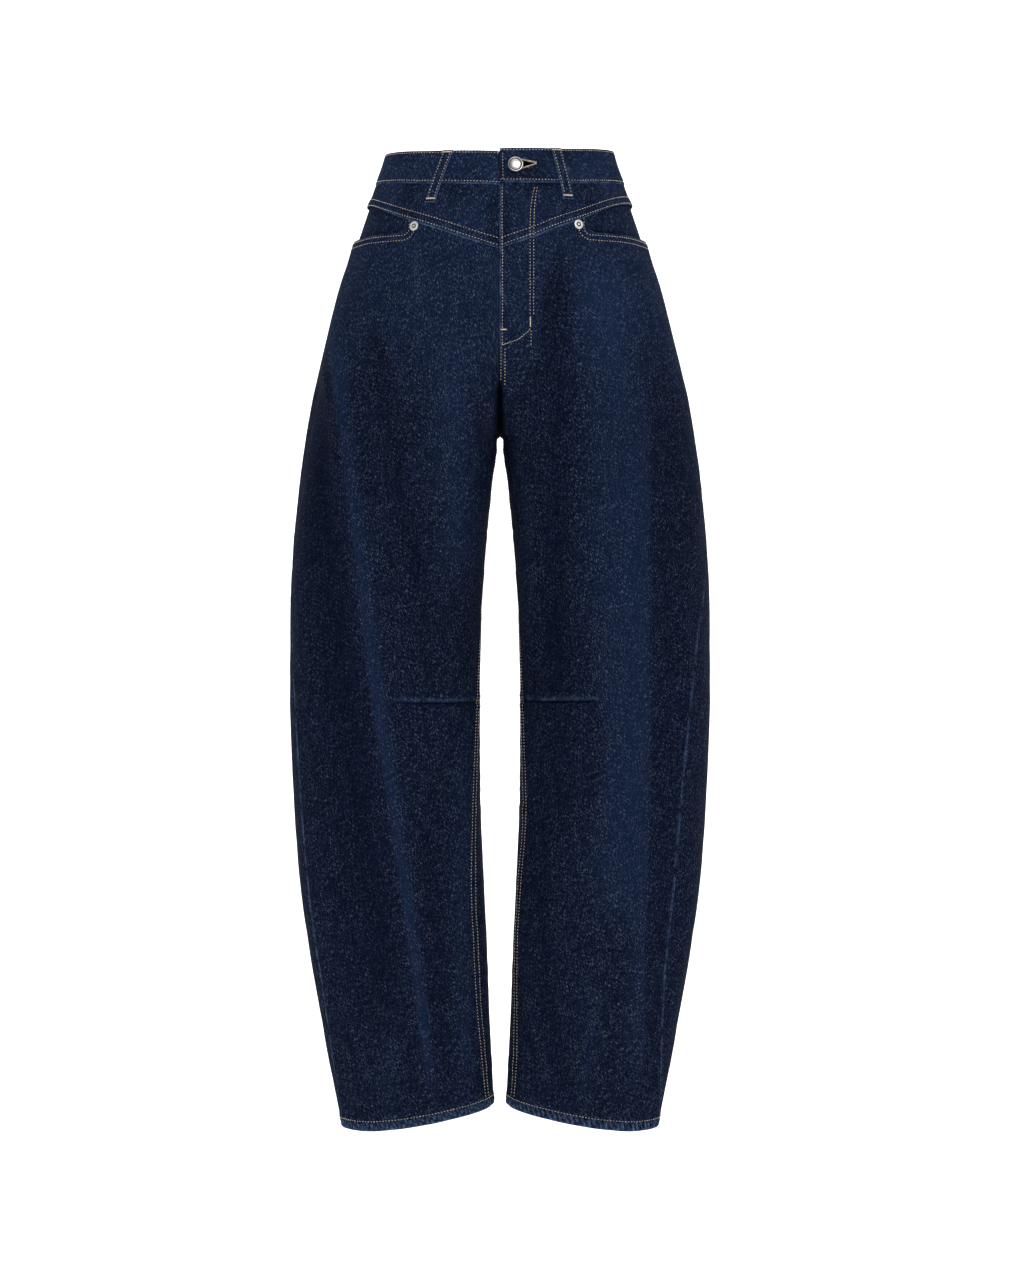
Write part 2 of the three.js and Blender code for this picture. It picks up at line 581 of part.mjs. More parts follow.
// The waistband is one strip: it starts as the buttoned end over the left front,
// goes round the back and ends under its own start.
const BAND_COLUMNS = 40;
const UNDERLAP_COLUMNS = 5;
const UNDERLAP = 36; // width of the end that lies below, measured half way down the band
const UNDERLAP_LEVEL = -15;
const OVERLAP_OUT = BAND_WALL + SEAM_GAP;
const OVERLAP_FADE = 0.12; // in turns
const underTurn = turnAt(UNDERLAP, UNDERLAP_LEVEL, -1);
function bandOverlap(turn) {
  return OVERLAP_OUT * (1 - smooth((turn - underTurn) / OVERLAP_FADE));
}
function waistband() {
  // journey is 0 at the front edge, 1 at the centre back and 2 at the front edge again
  const round = range(BAND_COLUMNS).map((t) => 2 * t);
  const under = range(UNDERLAP_COLUMNS).slice(1).map((t) => 2 + t * underTurn);
  const grid = range(3).map((down) =>
    [...round, ...under].map((journey) => {
      const onLeft = journey <= 1 || journey > 2;
      const turn = journey <= 1 ? journey : journey <= 2 ? 2 - journey : journey - 2;
      const leg = onLeft ? "left" : "right";
      const top = bandEdge("top", leg, turn);
      const z = top + (bandEdge("foot", leg, turn) + SEAM_GAP / 2 - top) * down;
      const over = journey < 1 ? bandOverlap(turn) : 0;
      const point = bareForm(turn, z);
      const normal = outward(turn, z);
      const pair = {
        outer: point.clone().addScaledVector(normal, BAND_OUT + over),
        inner: point.clone().addScaledVector(normal, BAND_OUT + over - BAND_WALL),
      };
      for (const p of [pair.outer, pair.inner]) p.x *= onLeft ? 1 : -1;
      return pair;
    }),
  );
  return wallMesh("waistband", denim, "left", grid);
}

// Patch pocket on the back panel: its points are the panel's, moved out.
function backPocket(leg) {
  const { top, slant, inner, outer, sideLength, pointLength, taper } = BACK_POCKET;
  const across = range(7);
  const grid = range(7).map((down) =>
    across.map((u) => {
      const length = sideLength + (pointLength - sideLength) * (1 - Math.abs(2 * u - 1));
      const z = top - slant * u - length * down;
      const left = inner + (taper / 2) * down;
      const right = outer - (taper / 2) * down;
      const turn = turnAt(right + (left - right) * u, z, 1);
      return layer(leg, turn, z, LAID_ON_GAP + DENIM_WALL, DENIM_WALL);
    }),
  );
  return wallMesh(`back_pocket_${leg}`, denim, leg, grid);
}

// A belt loop is a strip from the waistband's top to below its foot, bowed off the band between.
function beltLoop({ name, leg, face, topX, footX, reach }) {
  const turnTop = topX > 0 ? turnAt(topX, LOOP_LEVELS.top, face) : 1;
  const turnFoot = footX > 0 ? turnAt(footX, LOOP_LEVELS.foot, face) : 1;
  const topZ = bandEdge("top", leg, turnTop) - LOOP_DROP;
  const footZ = bandEdge("foot", leg, turnFoot) - reach;
  const grid = range(8).map((down) => {
    const turn = turnTop + (turnFoot - turnTop) * down;
    const z = topZ + (footZ - topZ) * down;
    const point = bareForm(Math.min(turn, 1), z);
    const normal = outward(turn, z);
    const sideways = new THREE.Vector3(-normal.y, normal.x, 0).normalize();
    const bandOut = BAND_OUT + (face < 0 && leg === "left" ? bandOverlap(turn) : 0);
    const bow = LOOP_SLACK * Math.sin(Math.PI * Math.min(1, down * 1.05));
    const base = point.clone().addScaledVector(normal, bandOut + SEAM_GAP + bow);
    return [-1, -0.34, 0.34, 1].map((u) => {
      const inner = base.clone().addScaledVector(sideways, (u * LOOP_WIDTH) / 2);
      const outer = inner.clone().addScaledVector(normal, LOOP_WALL);
      for (const p of [inner, outer]) p.x *= SIGN[leg];
      return { outer, inner };
    });
  });
  return wallMesh(name, denim, leg, grid);
}

// Round metal pieces: turned profiles set on the cloth and facing out of it.
function studOn(name, leg, x, z, lift, profile) {
  const turn = turnAt(x, z, -1);
  const { point, normal } = place(leg, turn, z);
  point.addScaledVector(normal, lift);
  point.x *= SIGN[leg];
  normal.x *= SIGN[leg];
  const geometry = new THREE.LatheGeometry(profile.map(([r, h]) => new THREE.Vector2(r, h)), 24);
  const mesh = new THREE.Mesh(geometry, nickel);
  mesh.name = name;
  mesh.position.copy(point);
  mesh.quaternion.setFromUnitVectors(new THREE.Vector3(0, 1, 0), normal);
  return mesh;
}

function button() {
  const { x, z, radius, thick, shankRadius, stand } = BUTTON;
  const profile = [
    [0, 0],
    [shankRadius, 0],
    [shankRadius, stand],
    [radius - 0.6, stand],
    [radius, stand + 0.6],
    [radius, stand + thick - 0.7],
    [radius - 0.9, stand + thick],
    [radius - 1.8, stand + thick - 0.1],
    [0, stand + thick - 0.1],
  ];
  return studOn("waist_button", "left", x, z, BAND_OUT + OVERLAP_OUT + SEAM_GAP, profile);
}

function rivet(leg) {
  const { radius, thick } = RIVET;
  const profile = [
    [0, 0],
    [radius, 0],
    [radius, thick * 0.4],
    [radius * 0.78, thick],
    [radius * 0.45, thick * 0.75],
    [radius * 0.3, thick * 1.05],
    [0, thick * 1.15],
  ];
  return studOn(`rivet_${leg}`, leg, RIVET[leg].x, RIVET[leg].z, SEAM_GAP, profile);
}

trousers.add(waistband(), button());
for (const leg of ["right", "left"]) {
  trousers.add(yoke(leg, -1), yoke(leg, 1), pocketFacing(leg), frontLeg(leg), backLeg(leg));
  trousers.add(backPocket(leg), rivet(leg));
}
for (const loop of BELT_LOOPS) trousers.add(beltLoop(loop));

export default trousers;
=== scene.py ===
import bpy
import numpy as np
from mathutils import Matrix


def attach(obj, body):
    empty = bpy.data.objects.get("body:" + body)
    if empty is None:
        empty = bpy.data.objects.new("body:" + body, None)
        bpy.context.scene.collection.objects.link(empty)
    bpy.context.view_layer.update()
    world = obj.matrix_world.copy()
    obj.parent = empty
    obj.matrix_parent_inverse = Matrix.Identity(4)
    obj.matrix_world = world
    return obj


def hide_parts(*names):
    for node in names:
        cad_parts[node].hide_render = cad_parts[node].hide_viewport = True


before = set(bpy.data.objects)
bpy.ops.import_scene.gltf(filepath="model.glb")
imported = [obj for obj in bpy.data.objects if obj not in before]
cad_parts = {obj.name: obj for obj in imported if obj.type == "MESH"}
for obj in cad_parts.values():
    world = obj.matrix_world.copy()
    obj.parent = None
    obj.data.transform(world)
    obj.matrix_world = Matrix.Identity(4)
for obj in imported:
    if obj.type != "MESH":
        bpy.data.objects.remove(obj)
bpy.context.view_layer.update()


# The photographer's view.
# A long lens straight in front, level with the knees, so that the waist is seen slightly from below.
def put_in_scene(name, data):
    """An object for a mesh, a camera or a lamp, put into the scene at the origin."""
    made = bpy.data.objects.new(name, data)
    bpy.context.scene.collection.objects.link(made)
    return made


view = bpy.data.cameras.new("view")
view.lens = 92.9
view.sensor_width = 36
camera = put_in_scene("view", view)
camera.location = (0.0127, -3.5, -0.505)
camera.rotation_euler = (np.pi / 2, 0, 0)
bpy.context.scene.camera = camera


# Leg fronts.
# Each front is one piece of 12 oz indigo twill from the front yoke to the hem, with a dart at the knee.
# They are joined by the fly and the front seam, and the wearer fills them out into tubes.
# Lengths are millimetres. turn runs round one half: 0 at the centre front or inner leg, by way of the front
# to 0.5 at the widest point, and by way of the back to 1 at the centre back or inner leg.
FORK = -288  # the height at which the legs part
FRONT_RISE_BEND = -172  # the heights at which the front and the back begin to bend under to the fork
BACK_RISE_BEND = -150
HIP_FILL = 2.25  # the exponent of the superellipse round both hips
FORK_SPREAD = 0.8  # how much lower a leg closes for each millimetre away from its inner side
FORK_ROUND = 34  # how far from its inner side a leg turns under sharply
FORK_NOTCH = {"half": 3.7, "opens": 1.5, "fades": 60, "turn": 0.14}  # the gap that opens just under the fork
SIGN = {"right": -1, "left": 1}


def table(columns, rows):
    """A short table with named columns."""
    return np.array(rows, dtype=[(name, float) for name in columns.split()])


SECTIONS = table(
    "z outer inner front back side fill",
    [
        (24, 117, 0, -88, 91, 2, 3.2),
        (0, 123, 0, -93, 96, 2, 3.2),
        (-30, 133.5, 0, -99, 106, 3, 3.2),
        (-45, 139, 0, -102, 112, 3, 3.2),
        (-68, 147, 0, -105, 118, 4, 3.2),
        (-90, 154.5, 0, -108, 125, 5, 3.2),
        (-123, 167.5, 0, -111, 131, 6, 3.2),
        (-187, 184.5, 0, -114, 133, 7, 3.2),
        (-250, 199.5, 0, -112, 121, 6, 3.1),
        (-288, 206, 0, -110, 112, 5, 3),
        (-335, 212.3, 6.8, -108, 103, 4, 2.8),
        (-399, 218.4, 14, -103, 93, 2, 2.6),
        (-483, 221.5, 19.5, -97, 83, 0, 2.45),
        (-568, 222.2, 21.2, -91, 74, -2, 2.4),
        (-653, 219.5, 21, -84, 69, -2, 2.35),
        (-738, 214, 18, -76, 65, -1, 2.3),
        (-823, 203.5, 14, -67, 60, 0, 2.3),
        (-908, 189, 10.8, -58, 55, 0, 2.25),
        (-992, 172.8, 6.6, -51, 50, 0, 2.2),
        (-1022, 167, 5.4, -49, 48, 0, 2.2),
    ],
)
# The outer seam's place is a share of the depth, forward of the widest point or, where negative, behind it.
# The inner seam's is in turns forward of the leg's inner side.
OUTER_SEAM = table(
    "z right left",
    [
        (24, -0.2, -0.2),
        (-120, -0.2, -0.2),
        (-250, -0.16, -0.13),
        (-330, -0.1, 0.03),
        (-437, 0.12, 0.42),
        (-505, 0.32, 0.64),
        (-587, 0.48, 0.74),
        (-674, 0.52, 0.78),
        (-757, 0.53, 0.78),
        (-836, 0.53, 0.76),
        (-901, 0.48, 0.67),
        (-962, 0.38, 0.48),
        (-1022, 0.3, 0.16),
    ],
)
INNER_SEAM = table(
    "z right left",
    [
        (-300, 0, 0),
        (-470, 0.02, 0.022),
        (-570, 0.038, 0.036),
        (-675, 0.062, 0.056),
        (-790, 0.0805, 0.044),
        (-870, 0.0805, 0.051),
        (-945, 0.0685, 0.063),
        (-1022, 0.054, 0.056),
    ],
)
HEM_EDGE = table(
    "x z",
    [(0, -993), (18, -999.5), (52, -1007), (80, -1012.5), (110, -1017), (145, -1020), (175, -1019)],
)
HEM_LEVEL = -1010  # a level hem, to which rows of points are counted before they take the hem's curve
HEM_TILT_START = -800  # the level below which they begin to take it
FRONT_YOKE = table(
    "x right left",
    [
        (0, -101.6, -101.6),
        (36, -90, -88.4),
        (59, -81.8, -78.4),
        (83, -73.3, -69.4),
        (103, -66, -60.7),
        (120, -58.5, -53.4),
        (139, -49, -47),
        (150, -46, -45),
    ],
)
# Folds run down a leg through three points, on its front (-1) or its back (1). height is out of the cloth, and
# inward and outward are the half widths on the fold's two sides, so that a ridge can drop sharply on one of them.
FOLD_COLUMNS = "z0 z1 z2 x0 x1 x2 height inward outward"
FOLDS = {
    ("right", -1): [
        (-190, -560, -970, 173, 127, 70, 3.8, 9, 6),
        (-220, -430, -640, 186, 154, 120, 1.8, 5, 5),
        (-210, -500, -900, 205, 166, 118, -6, 20, 34),
        (-190, -330, -560, 128, 104, 66, -3, 9, 13),
        (-345, -423, -500, 106, 82, 56, -2.4, 6, 8),
        (-190, -290, -440, 54, 46, 42, 2.6, 20, 22),
        (-85, -130, -180, 87, 87, 89, 1, 7, 7),
        (-690, -820, -960, 73, 65, 57, -3.4, 9, 12),
        (-610, -780, -980, 36, 38, 34, 1.6, 10, 12),
        (-300, -350, -400, 22, 44, 76, -1.3, 6, 6),
        (-290, -320, -370, 12, 26, 48, 1, 5, 5),
        (-590, -640, -700, 100, 72, 48, -1.6, 8, 10),
        (-720, -800, -900, 150, 142, 128, 1.6, 12, 10),
        (-860, -930, -990, 106, 112, 118, 1.4, 9, 11),
        (-205, -240, -275, 66, 40, 14, -1.2, 8, 8),
    ],
    ("left", -1): [
        (-120, -300, -540, 62, 57, 54, -5, 15, 13),
        (-480, -590, -710, 54, 57, 52, -4, 20, 24),
        (-690, -860, -980, 38, 47, 67, -4, 11, 8),
        (-110, -460, -790, 112, 127, 126, 2.8, 30, 24),
        (-340, -440, -540, 28, 32, 34, 1.8, 9, 9),
        (-250, -560, -960, 149, 151, 147, 2.2, 14, 4),
        (-260, -560, -960, 173, 172, 167, -2.2, 12, 20),
        (-300, -345, -400, 18, 38, 66, -1.4, 6, 6),
        (-292, -325, -370, 10, 24, 44, 1, 5, 5),
        (-560, -610, -690, 92, 98, 84, -1.8, 10, 12),
        (-600, -650, -730, 24, 30, 34, 1.4, 9, 9),
        (-860, -920, -990, 100, 94, 90, 1.4, 9, 9),
        (-195, -230, -270, 62, 36, 12, -1.2, 8, 8),
        (-120, -150, -185, 90, 96, 104, 0.8, 10, 10),
    ],
    ("right", 1): [
        (-300, -520, -860, 150, 128, 96, 4.5, 18, 12),
        (-310, -450, -620, 70, 78, 66, -4.5, 15, 12),
        (-296, -330, -380, 14, 50, 100, -2, 7, 7),
        (-300, -345, -400, 10, 36, 80, 1.5, 6, 6),
        (-540, -570, -610, 120, 80, 40, -1.8, 8, 8),
        (-560, -595, -640, 130, 90, 52, 1.6, 8, 8),
        (-640, -760, -940, 52, 46, 56, -2.5, 11, 14),
        (-860, -920, -990, 70, 62, 60, 1.4, 10, 10),
    ],
    ("left", 1): [
        (-320, -560, -900, 148, 140, 118, 4.5, 20, 14),
        (-330, -500, -780, 60, 74, 82, -4.5, 15, 11),
        (-296, -328, -372, 14, 46, 92, -2, 7, 7),
        (-300, -342, -392, 10, 34, 76, 1.5, 6, 6),
        (-530, -566, -612, 130, 88, 44, -1.8, 8, 8),
        (-552, -590, -640, 138, 98, 60, 1.6, 8, 8),
        (-700, -820, -970, 40, 52, 60, -2.5, 12, 10),
        (-870, -930, -990, 84, 90, 92, 1.4, 10, 10),
    ],
}
FOLDS = {place: table(FOLD_COLUMNS, rows) for place, rows in FOLDS.items()}
FOLD_REACH = 40  # how far a fold runs on past its end points
FOLD_FADE = 90  # the length over which it fades at its ends


def curve_through(rows, along, column):
    """Smooth curve through a table's rows with no overshoot: a monotone cubic whose slope at a row is the
    harmonic mean of the slopes on its two sides, or level where they differ in sign."""
    order = np.argsort(rows[along])
    at, value = rows[along][order], rows[column][order]
    slope = np.diff(value) / np.diff(at)
    both = slope[:-1] * slope[1:]
    total = np.where(both > 0, slope[:-1] + slope[1:], 1)
    tangent = np.concatenate([slope[:1], np.where(both > 0, 2 * both / total, 0), slope[-1:]])

    def follow(where):
        where = np.clip(where, at[0], at[-1])
        i = np.clip(np.searchsorted(at, where) - 1, 0, len(at) - 2)
        span = at[i + 1] - at[i]
        t = (where - at[i]) / span
        rise = t * t * (3 - 2 * t)
        bend = tangent[i] * t * (1 - t) ** 2 + tangent[i + 1] * t * t * (t - 1)
        return value[i] * (1 - rise) + value[i + 1] * rise + span * bend

    return follow


def ease(t):
    """0 below 0, 1 above 1, and an S between."""
    u = np.clip(t, 0, 1)
    return u * u * (3 - 2 * u)


def bell(distance, width):
    """1 where distance is 0, and a bell's fall to both sides of it: the exponential of minus the square of
    distance over width."""
    return np.exp(-((distance / width) ** 2))


section = {name: curve_through(SECTIONS, "z", name) for name in SECTIONS.dtype.names[1:]}
outer_forward = {leg: curve_through(OUTER_SEAM, "z", leg) for leg in SIGN}
inner_forward = {leg: curve_through(INNER_SEAM, "z", leg) for leg in SIGN}
front_yoke_foot = {leg: curve_through(FRONT_YOKE, "x", leg) for leg in SIGN}
hem_edge = curve_through(HEM_EDGE, "x", "z")


def body_form(turn, z):
    """The smooth form on the wearer's left. The leg is a superellipse about its own middle, the hips one about
    the body's middle; the depth goes from the hips' to the leg's as the rise bends under to the fork."""
    turn, z = np.broadcast_arrays(np.asarray(turn, float), np.asarray(z, float))
    above = z > FORK
    past = turn < 0
    over = turn > 1
    t = np.where(past, np.where(above, -turn, turn + 1), np.where(over, np.where(above, 2 - turn, turn - 1), turn))
    m = {name: follow(z) for name, follow in section.items()}
    front = t < 0.5
    depth = np.where(front, m["front"], m["back"]) - m["side"]
    half = (m["outer"] - m["inner"]) / 2
    across = np.cos(2 * np.pi * t)
    through = np.abs(np.sin(2 * np.pi * t))
    radius = (np.abs(across) ** m["fill"] + through ** m["fill"]) ** (-1 / m["fill"])
    drop = np.maximum(FORK - z, 0)
    notch = FORK_NOTCH["half"] * (1 - np.exp(-drop / FORK_NOTCH["opens"])) * np.exp(-drop / FORK_NOTCH["fades"])
    notch_here = notch * (1 - ease(np.minimum(t, 1 - t) / FORK_NOTCH["turn"]))
    x = m["outer"] - half - half * across * radius + notch_here
    leg_y = depth * through * radius
    hip_y = depth * np.maximum(0, 1 - (x / m["outer"]) ** HIP_FILL) ** (1 / HIP_FILL)
    from_inner = x - m["inner"] - notch
    bend = np.where(front, FRONT_RISE_BEND, BACK_RISE_BEND)
    closed = np.clip((bend - z) / (bend - FORK + FORK_SPREAD * from_inner), 0, 1)
    share = 1 - (1 - closed**2) ** (0.5 + 1.5 * ease(from_inner / FORK_ROUND))
    mirrored = above & (past | over)
    return np.stack([np.where(mirrored, -x, x), m["side"] + hip_y + (leg_y - hip_y) * share, z], -1)


HALVINGS = 26  # enough to find a turn to a millionth of a millimetre


def turn_at(x, z, face):
    """The turn at which the form is x from the middle plane, on the front (face -1) or the back (face 1),
    found by halving."""
    x, z = np.broadcast_arrays(np.asarray(x, float), np.asarray(z, float))
    low, high = np.zeros(x.shape), np.full(x.shape, 0.5)
    for _ in range(HALVINGS):
        middle = (low + high) / 2
        near = body_form(middle if face < 0 else 1 - middle, z)[..., 0] < x
        low, high = np.where(near, middle, low), np.where(near, high, middle)
    return low if face < 0 else 1 - low


def outer_seam_by_height(leg):
    """The outer seam's turn against height: where the form's depth is the seam's share, found by halving."""
    z = np.linspace(-1030, 30, 531)
    share = outer_forward[leg](z)
    depth = np.where(share > 0, section["front"](z), section["back"](z)) - section["side"](z)
    near, far = np.full(z.shape, 0.5), np.where(share > 0, 0.25, 0.75)
    for _ in range(HALVINGS):
        middle = (near + far) / 2
        short = (body_form(middle, z)[..., 1] - section["side"](z)) / depth < np.abs(share)
        near, far = np.where(short, middle, near), np.where(short, far, middle)
    return lambda where: np.interp(where, z, near)


outer_seam_turn = {leg: outer_seam_by_height(leg) for leg in SIGN}


LATTICE = 128


def soft_noise(seed, u, v):
    """Smooth random height between -1 and 1: a seeded lattice of numbers, eased between its corners."""
    lattice = np.random.default_rng(seed).uniform(-1, 1, (LATTICE, LATTICE))
    u, v = np.broadcast_arrays(u, v)
    iu, iv = np.floor(u).astype(int), np.floor(v).astype(int)
    fu, fv = ease(u - iu), ease(v - iv)

    def corner(du, dv):
        return lattice[(iu + du) % LATTICE, (iv + dv) % LATTICE]

    low = corner(0, 0) * (1 - fu) + corner(1, 0) * fu
    high = corner(0, 1) * (1 - fu) + corner(1, 1) * fu
    return low * (1 - fv) + high * fv


ROUND = 620  # the way round a thigh, to turn turns into millimetres; a hem is about two thirds of it
KNEE_DART = {"right": {"z": -569, "end": 115}, "left": {"z": -568, "end": 107}}
DART_BOW = 1.6
HEM_DEPTH = 12
ROPE_PITCH = 7.4
ROPE_SLANT = 13
CRUMPLES = ((11, 0.55, 31, 64), (12, 0.22, 12, 19))  # each a seed, a height, and a size round and down the leg
PUCKER_PITCH = 6.5


def over_dart(leg, x, z):
    """Height over the knee dart's line, which bows down between its two ends."""
    dart = KNEE_DART[leg]
    return z - dart["z"] + DART_BOW * np.sin(np.clip(x / dart["end"], 0, 1) * np.pi)


def rope(turn, above_hem):
    """The slanting wave of a hem that has twisted in the wash, from -1 to 1."""
    return np.sin(2 * np.pi * (turn * ROUND / ROPE_PITCH + above_hem / ROPE_SLANT))


def folded_height(leg, turn, x, z):
    """How far the cloth stands off the smooth form, and the folds' own part of it: each fold is a bell across
    its path, and slighter crumpling, seam puckers, the knee dart's pinch and the hem's roping lie over them."""
    t = np.mod(turn, 1)
    face = np.where(t < 0.5, -1, 1)
    from_middle = np.minimum(t, 1 - t)
    flat = ease(np.minimum(from_middle, np.abs(t - 0.5)) / 0.06)
    height = np.zeros(np.broadcast(turn, z).shape)
    for side in (-1, 1):
        side_height = np.zeros(height.shape)
        for fold in FOLDS[(leg, side)]:
            rows = table("z x", [(fold[f"z{k}"], fold[f"x{k}"]) for k in range(3)])
            path = curve_through(rows, "z", "x")(z)
            fade = ease((fold["z0"] + FOLD_REACH - z) / FOLD_FADE) * ease((z - fold["z2"] + FOLD_REACH) / FOLD_FADE)
            width = np.where(x > path, fold["outward"], fold["inward"])
            side_height += fold["height"] * fade * bell(x - path, width)
        height += np.where(face == side, side_height, 0) * flat
    fold_part = height.copy()
    round_way = t * ROUND
    calm = ease((-z - 10) / 90)
    clear_of_middle = ease(from_middle / 0.03)
    for seed, depth, across, along in CRUMPLES:
        height += depth * soft_noise(seed, round_way / across, z / along) * calm * clear_of_middle
    outer_way = np.abs(t - outer_seam_turn[leg](z)) * ROUND
    height += 0.5 * bell(outer_way, 9) * soft_noise(13, z / PUCKER_PITCH, 0.5) * calm
    below = z < FORK
    inner_way = np.minimum(np.abs(t - inner_forward[leg](z)), 1 - t) * ROUND
    height += 0.55 * bell(inner_way, 12) * soft_noise(14, z / PUCKER_PITCH, 0.5) * below
    dart_way = over_dart(leg, x, z)
    pinch = ease((KNEE_DART[leg]["end"] - x) / 22) * (face < 0) * below
    height -= pinch * 1.5 * bell(dart_way, 2.2)
    height += pinch * 0.7 * bell(np.abs(dart_way) - 5, 4) * (0.6 + soft_noise(15, x / 7, 0.5))
    above_hem = z - hem_edge(x)
    uneven = 0.7 + 0.5 * soft_noise(16, round_way / 22, 0.5)
    height += 0.4 * rope(t, above_hem) * uneven * bell(above_hem - 5, 6.5)
    height += 0.35 * bell(above_hem - HEM_DEPTH - 3, 5) * soft_noise(17, round_way / PUCKER_PITCH, 0.5)
    return height, fold_part


def facing_of(surface, turn, z, turn_step=0.002, z_step=0.7):
    """A surface's outward direction: the way round crossed with the way up."""
    along = surface(turn + turn_step, z) - surface(turn - turn_step, z)
    up = surface(turn, z + z_step) - surface(turn, z - z_step)
    normal = np.cross(along, up)
    return normal / np.linalg.norm(normal, axis=-1, keepdims=True)


def form_facing(turn, z):
    """The smooth form's outward direction, at the fork the mean of those just above and below."""
    near_fork = np.abs(z - FORK) < 1
    high = facing_of(body_form, turn, np.where(near_fork, FORK + 1, z))
    low = facing_of(body_form, turn, np.where(near_fork, FORK - 1, z))
    mean = high + low
    return mean / np.linalg.norm(mean, axis=-1, keepdims=True)


def cloth_place(leg, turn, z):
    """Points on the leg's cloth and its outward directions, on the wearer's left for both legs."""

    def surface(t, level):
        point = body_form(t, level)
        height, _ = folded_height(leg, t, np.abs(point[..., 0]), level)
        return point + form_facing(t, level) * height[..., None]

    normal = facing_of(surface, turn, z)
    normal = np.where((np.abs(z - FORK) < 1.5)[..., None], form_facing(turn, z), normal)
    return surface(turn, z), normal


def on_cloth(leg, turn, z, *lifts):
    """The cloth moved out along itself by each lift in turn, and last its outward directions. Above the fork the
    halves meet just past the middle plane, and the wearer's right is the left mirrored."""
    turn, z = np.broadcast_arrays(np.asarray(turn, float), np.asarray(z, float))
    place, normal = cloth_place(leg, turn, z)
    at_middle = (z > FORK - 4) & (turn >= -0.001) & (turn <= 1.001)
    sewn_edge = at_middle & (z > FORK - 0.5) & (body_form(turn, z)[..., 0] < 0.2)
    flip = np.array([SIGN[leg], 1, 1])
    layers = []
    for lift in lifts:
        point = place + normal * np.broadcast_to(lift, turn.shape)[..., None]
        meets = sewn_edge | (at_middle & (point[..., 0] < 0.2))
        point[..., 0] = np.where(meets, -0.1, point[..., 0])
        layers.append(point * flip)
    return (*layers, normal * flip)


def fold_shading_and_wear(leg, turn, z):
    """Painted light and shade from the folds, partly rubbing: from -1, painted shade in the deepest valleys, to 1,
    painted sheen on the highest ridges.
    """
    x = np.abs(body_form(turn, z)[..., 0])
    return np.clip(folded_height(leg, turn, x, z)[1] / 7, -1, 1)


def lengths_along(points, axis):
    """Running length in metres along one way of a grid of points in millimetres, zero at the middle."""
    steps = np.linalg.norm(np.diff(points, axis=axis), axis=-1) / 1000
    start = np.zeros_like(steps.take([0], axis=axis))
    run = np.concatenate([start, np.cumsum(steps, axis=axis)], axis=axis)
    return run - run.take([run.shape[axis] // 2], axis=axis)


def smooth_mesh(name, points, faces, sharp=180):
    """A smooth mesh from points in millimetres, with sharp edges where faces meet at more than an angle."""
    mesh = bpy.data.meshes.new(name)
    mesh.from_pydata(points.reshape(-1, 3) / 1000, [], faces)
    mesh.shade_smooth()
    mesh.set_sharp_from_angle(angle=np.radians(sharp))
    return mesh


def cloth_wall(name, outer, inner, turned, **painted):
    """A closed wall of cloth from two grids of points, its outer and inner face, joined round their borders.
    The rows run down and the columns round; turned is for a mirrored piece, whose faces run the other way.
    painted gives values at the points for the material: worn for rubbed wear, shade for painted light and shade, and
    smooth for fewer flecks on the painted sheen."""
    rows, columns = outer.shape[:2]
    count = rows * columns
    grid = np.arange(count).reshape(rows, columns)
    a, b, c, d = grid[:-1, :-1], grid[1:, :-1], grid[1:, 1:], grid[:-1, 1:]
    parts = [np.stack([a, b, c, d], -1).reshape(-1, 4)]
    for edge in (grid[0], grid[-1, ::-1], grid[::-1, 0], grid[:, -1]):
        parts.append(np.stack([edge[:-1], edge[1:], edge[1:] + count, edge[:-1] + count], -1))
    lining = np.stack([a, d, c, b], -1).reshape(-1, 4) + count
    faces = np.concatenate([*parts, lining])
    if turned:
        faces = faces[:, ::-1]
    mesh = smooth_mesh(name, np.stack([outer, inner]), faces.tolist(), sharp=48)
    inside = np.arange(len(faces)) >= len(faces) - len(lining)
    mesh.polygons.foreach_set("material_index", inside.astype(np.int32))
    across = lengths_along(outer, 1) * (-1 if turned else 1)
    by_vertex = np.tile(np.stack([across, lengths_along(outer, 0)], -1).reshape(-1, 2), (2, 1))
    layer = mesh.uv_layers.new(name="cut")
    layer.data.foreach_set("uv", by_vertex[faces.ravel()].astype(np.float32).ravel())
    for channel in ("worn", "shade", "smooth"):
        values = np.broadcast_to(painted.get(channel, 0.0), outer.shape[:2]).ravel()
        attribute = mesh.attributes.new(channel, "FLOAT", "POINT")
        attribute.data.foreach_set("value", np.tile(values, 2).astype(np.float32))
    return put_in_scene(name, mesh)


def linear(hex_colour):
    """An sRGB hex colour as linear red, green, blue and alpha."""
    parts = np.array([int(hex_colour[i : i + 2], 16) for i in (1, 3, 5)]) / 255
    parts = np.where(parts > 0.04045, ((parts + 0.055) / 1.055) ** 2.4, parts / 12.92)
    return (*parts.tolist(), 1.0)


def add_node(tree, kind, sockets=None, **settings):
    """A node with its settings; sockets gives each of its inputs an output to be fed by, or a fixed value."""
    made = tree.nodes.new("ShaderNode" + kind)
    for name, value in settings.items():
        setattr(made, name, value)
    for socket, value in (sockets or {}).items():
        if isinstance(value, bpy.types.NodeSocket):
            tree.links.new(value, made.inputs[socket])
        else:
            made.inputs[socket].default_value = value
    return made


def new_material(name, shader):
    """A material whose surface shader is the one that a function builds in its empty node tree."""
    material = bpy.data.materials.new(name)
    material.use_nodes = True
    tree = material.node_tree
    tree.nodes.clear()
    add_node(tree, "OutputMaterial", {"Surface": shader(tree).outputs[0]})
    return material


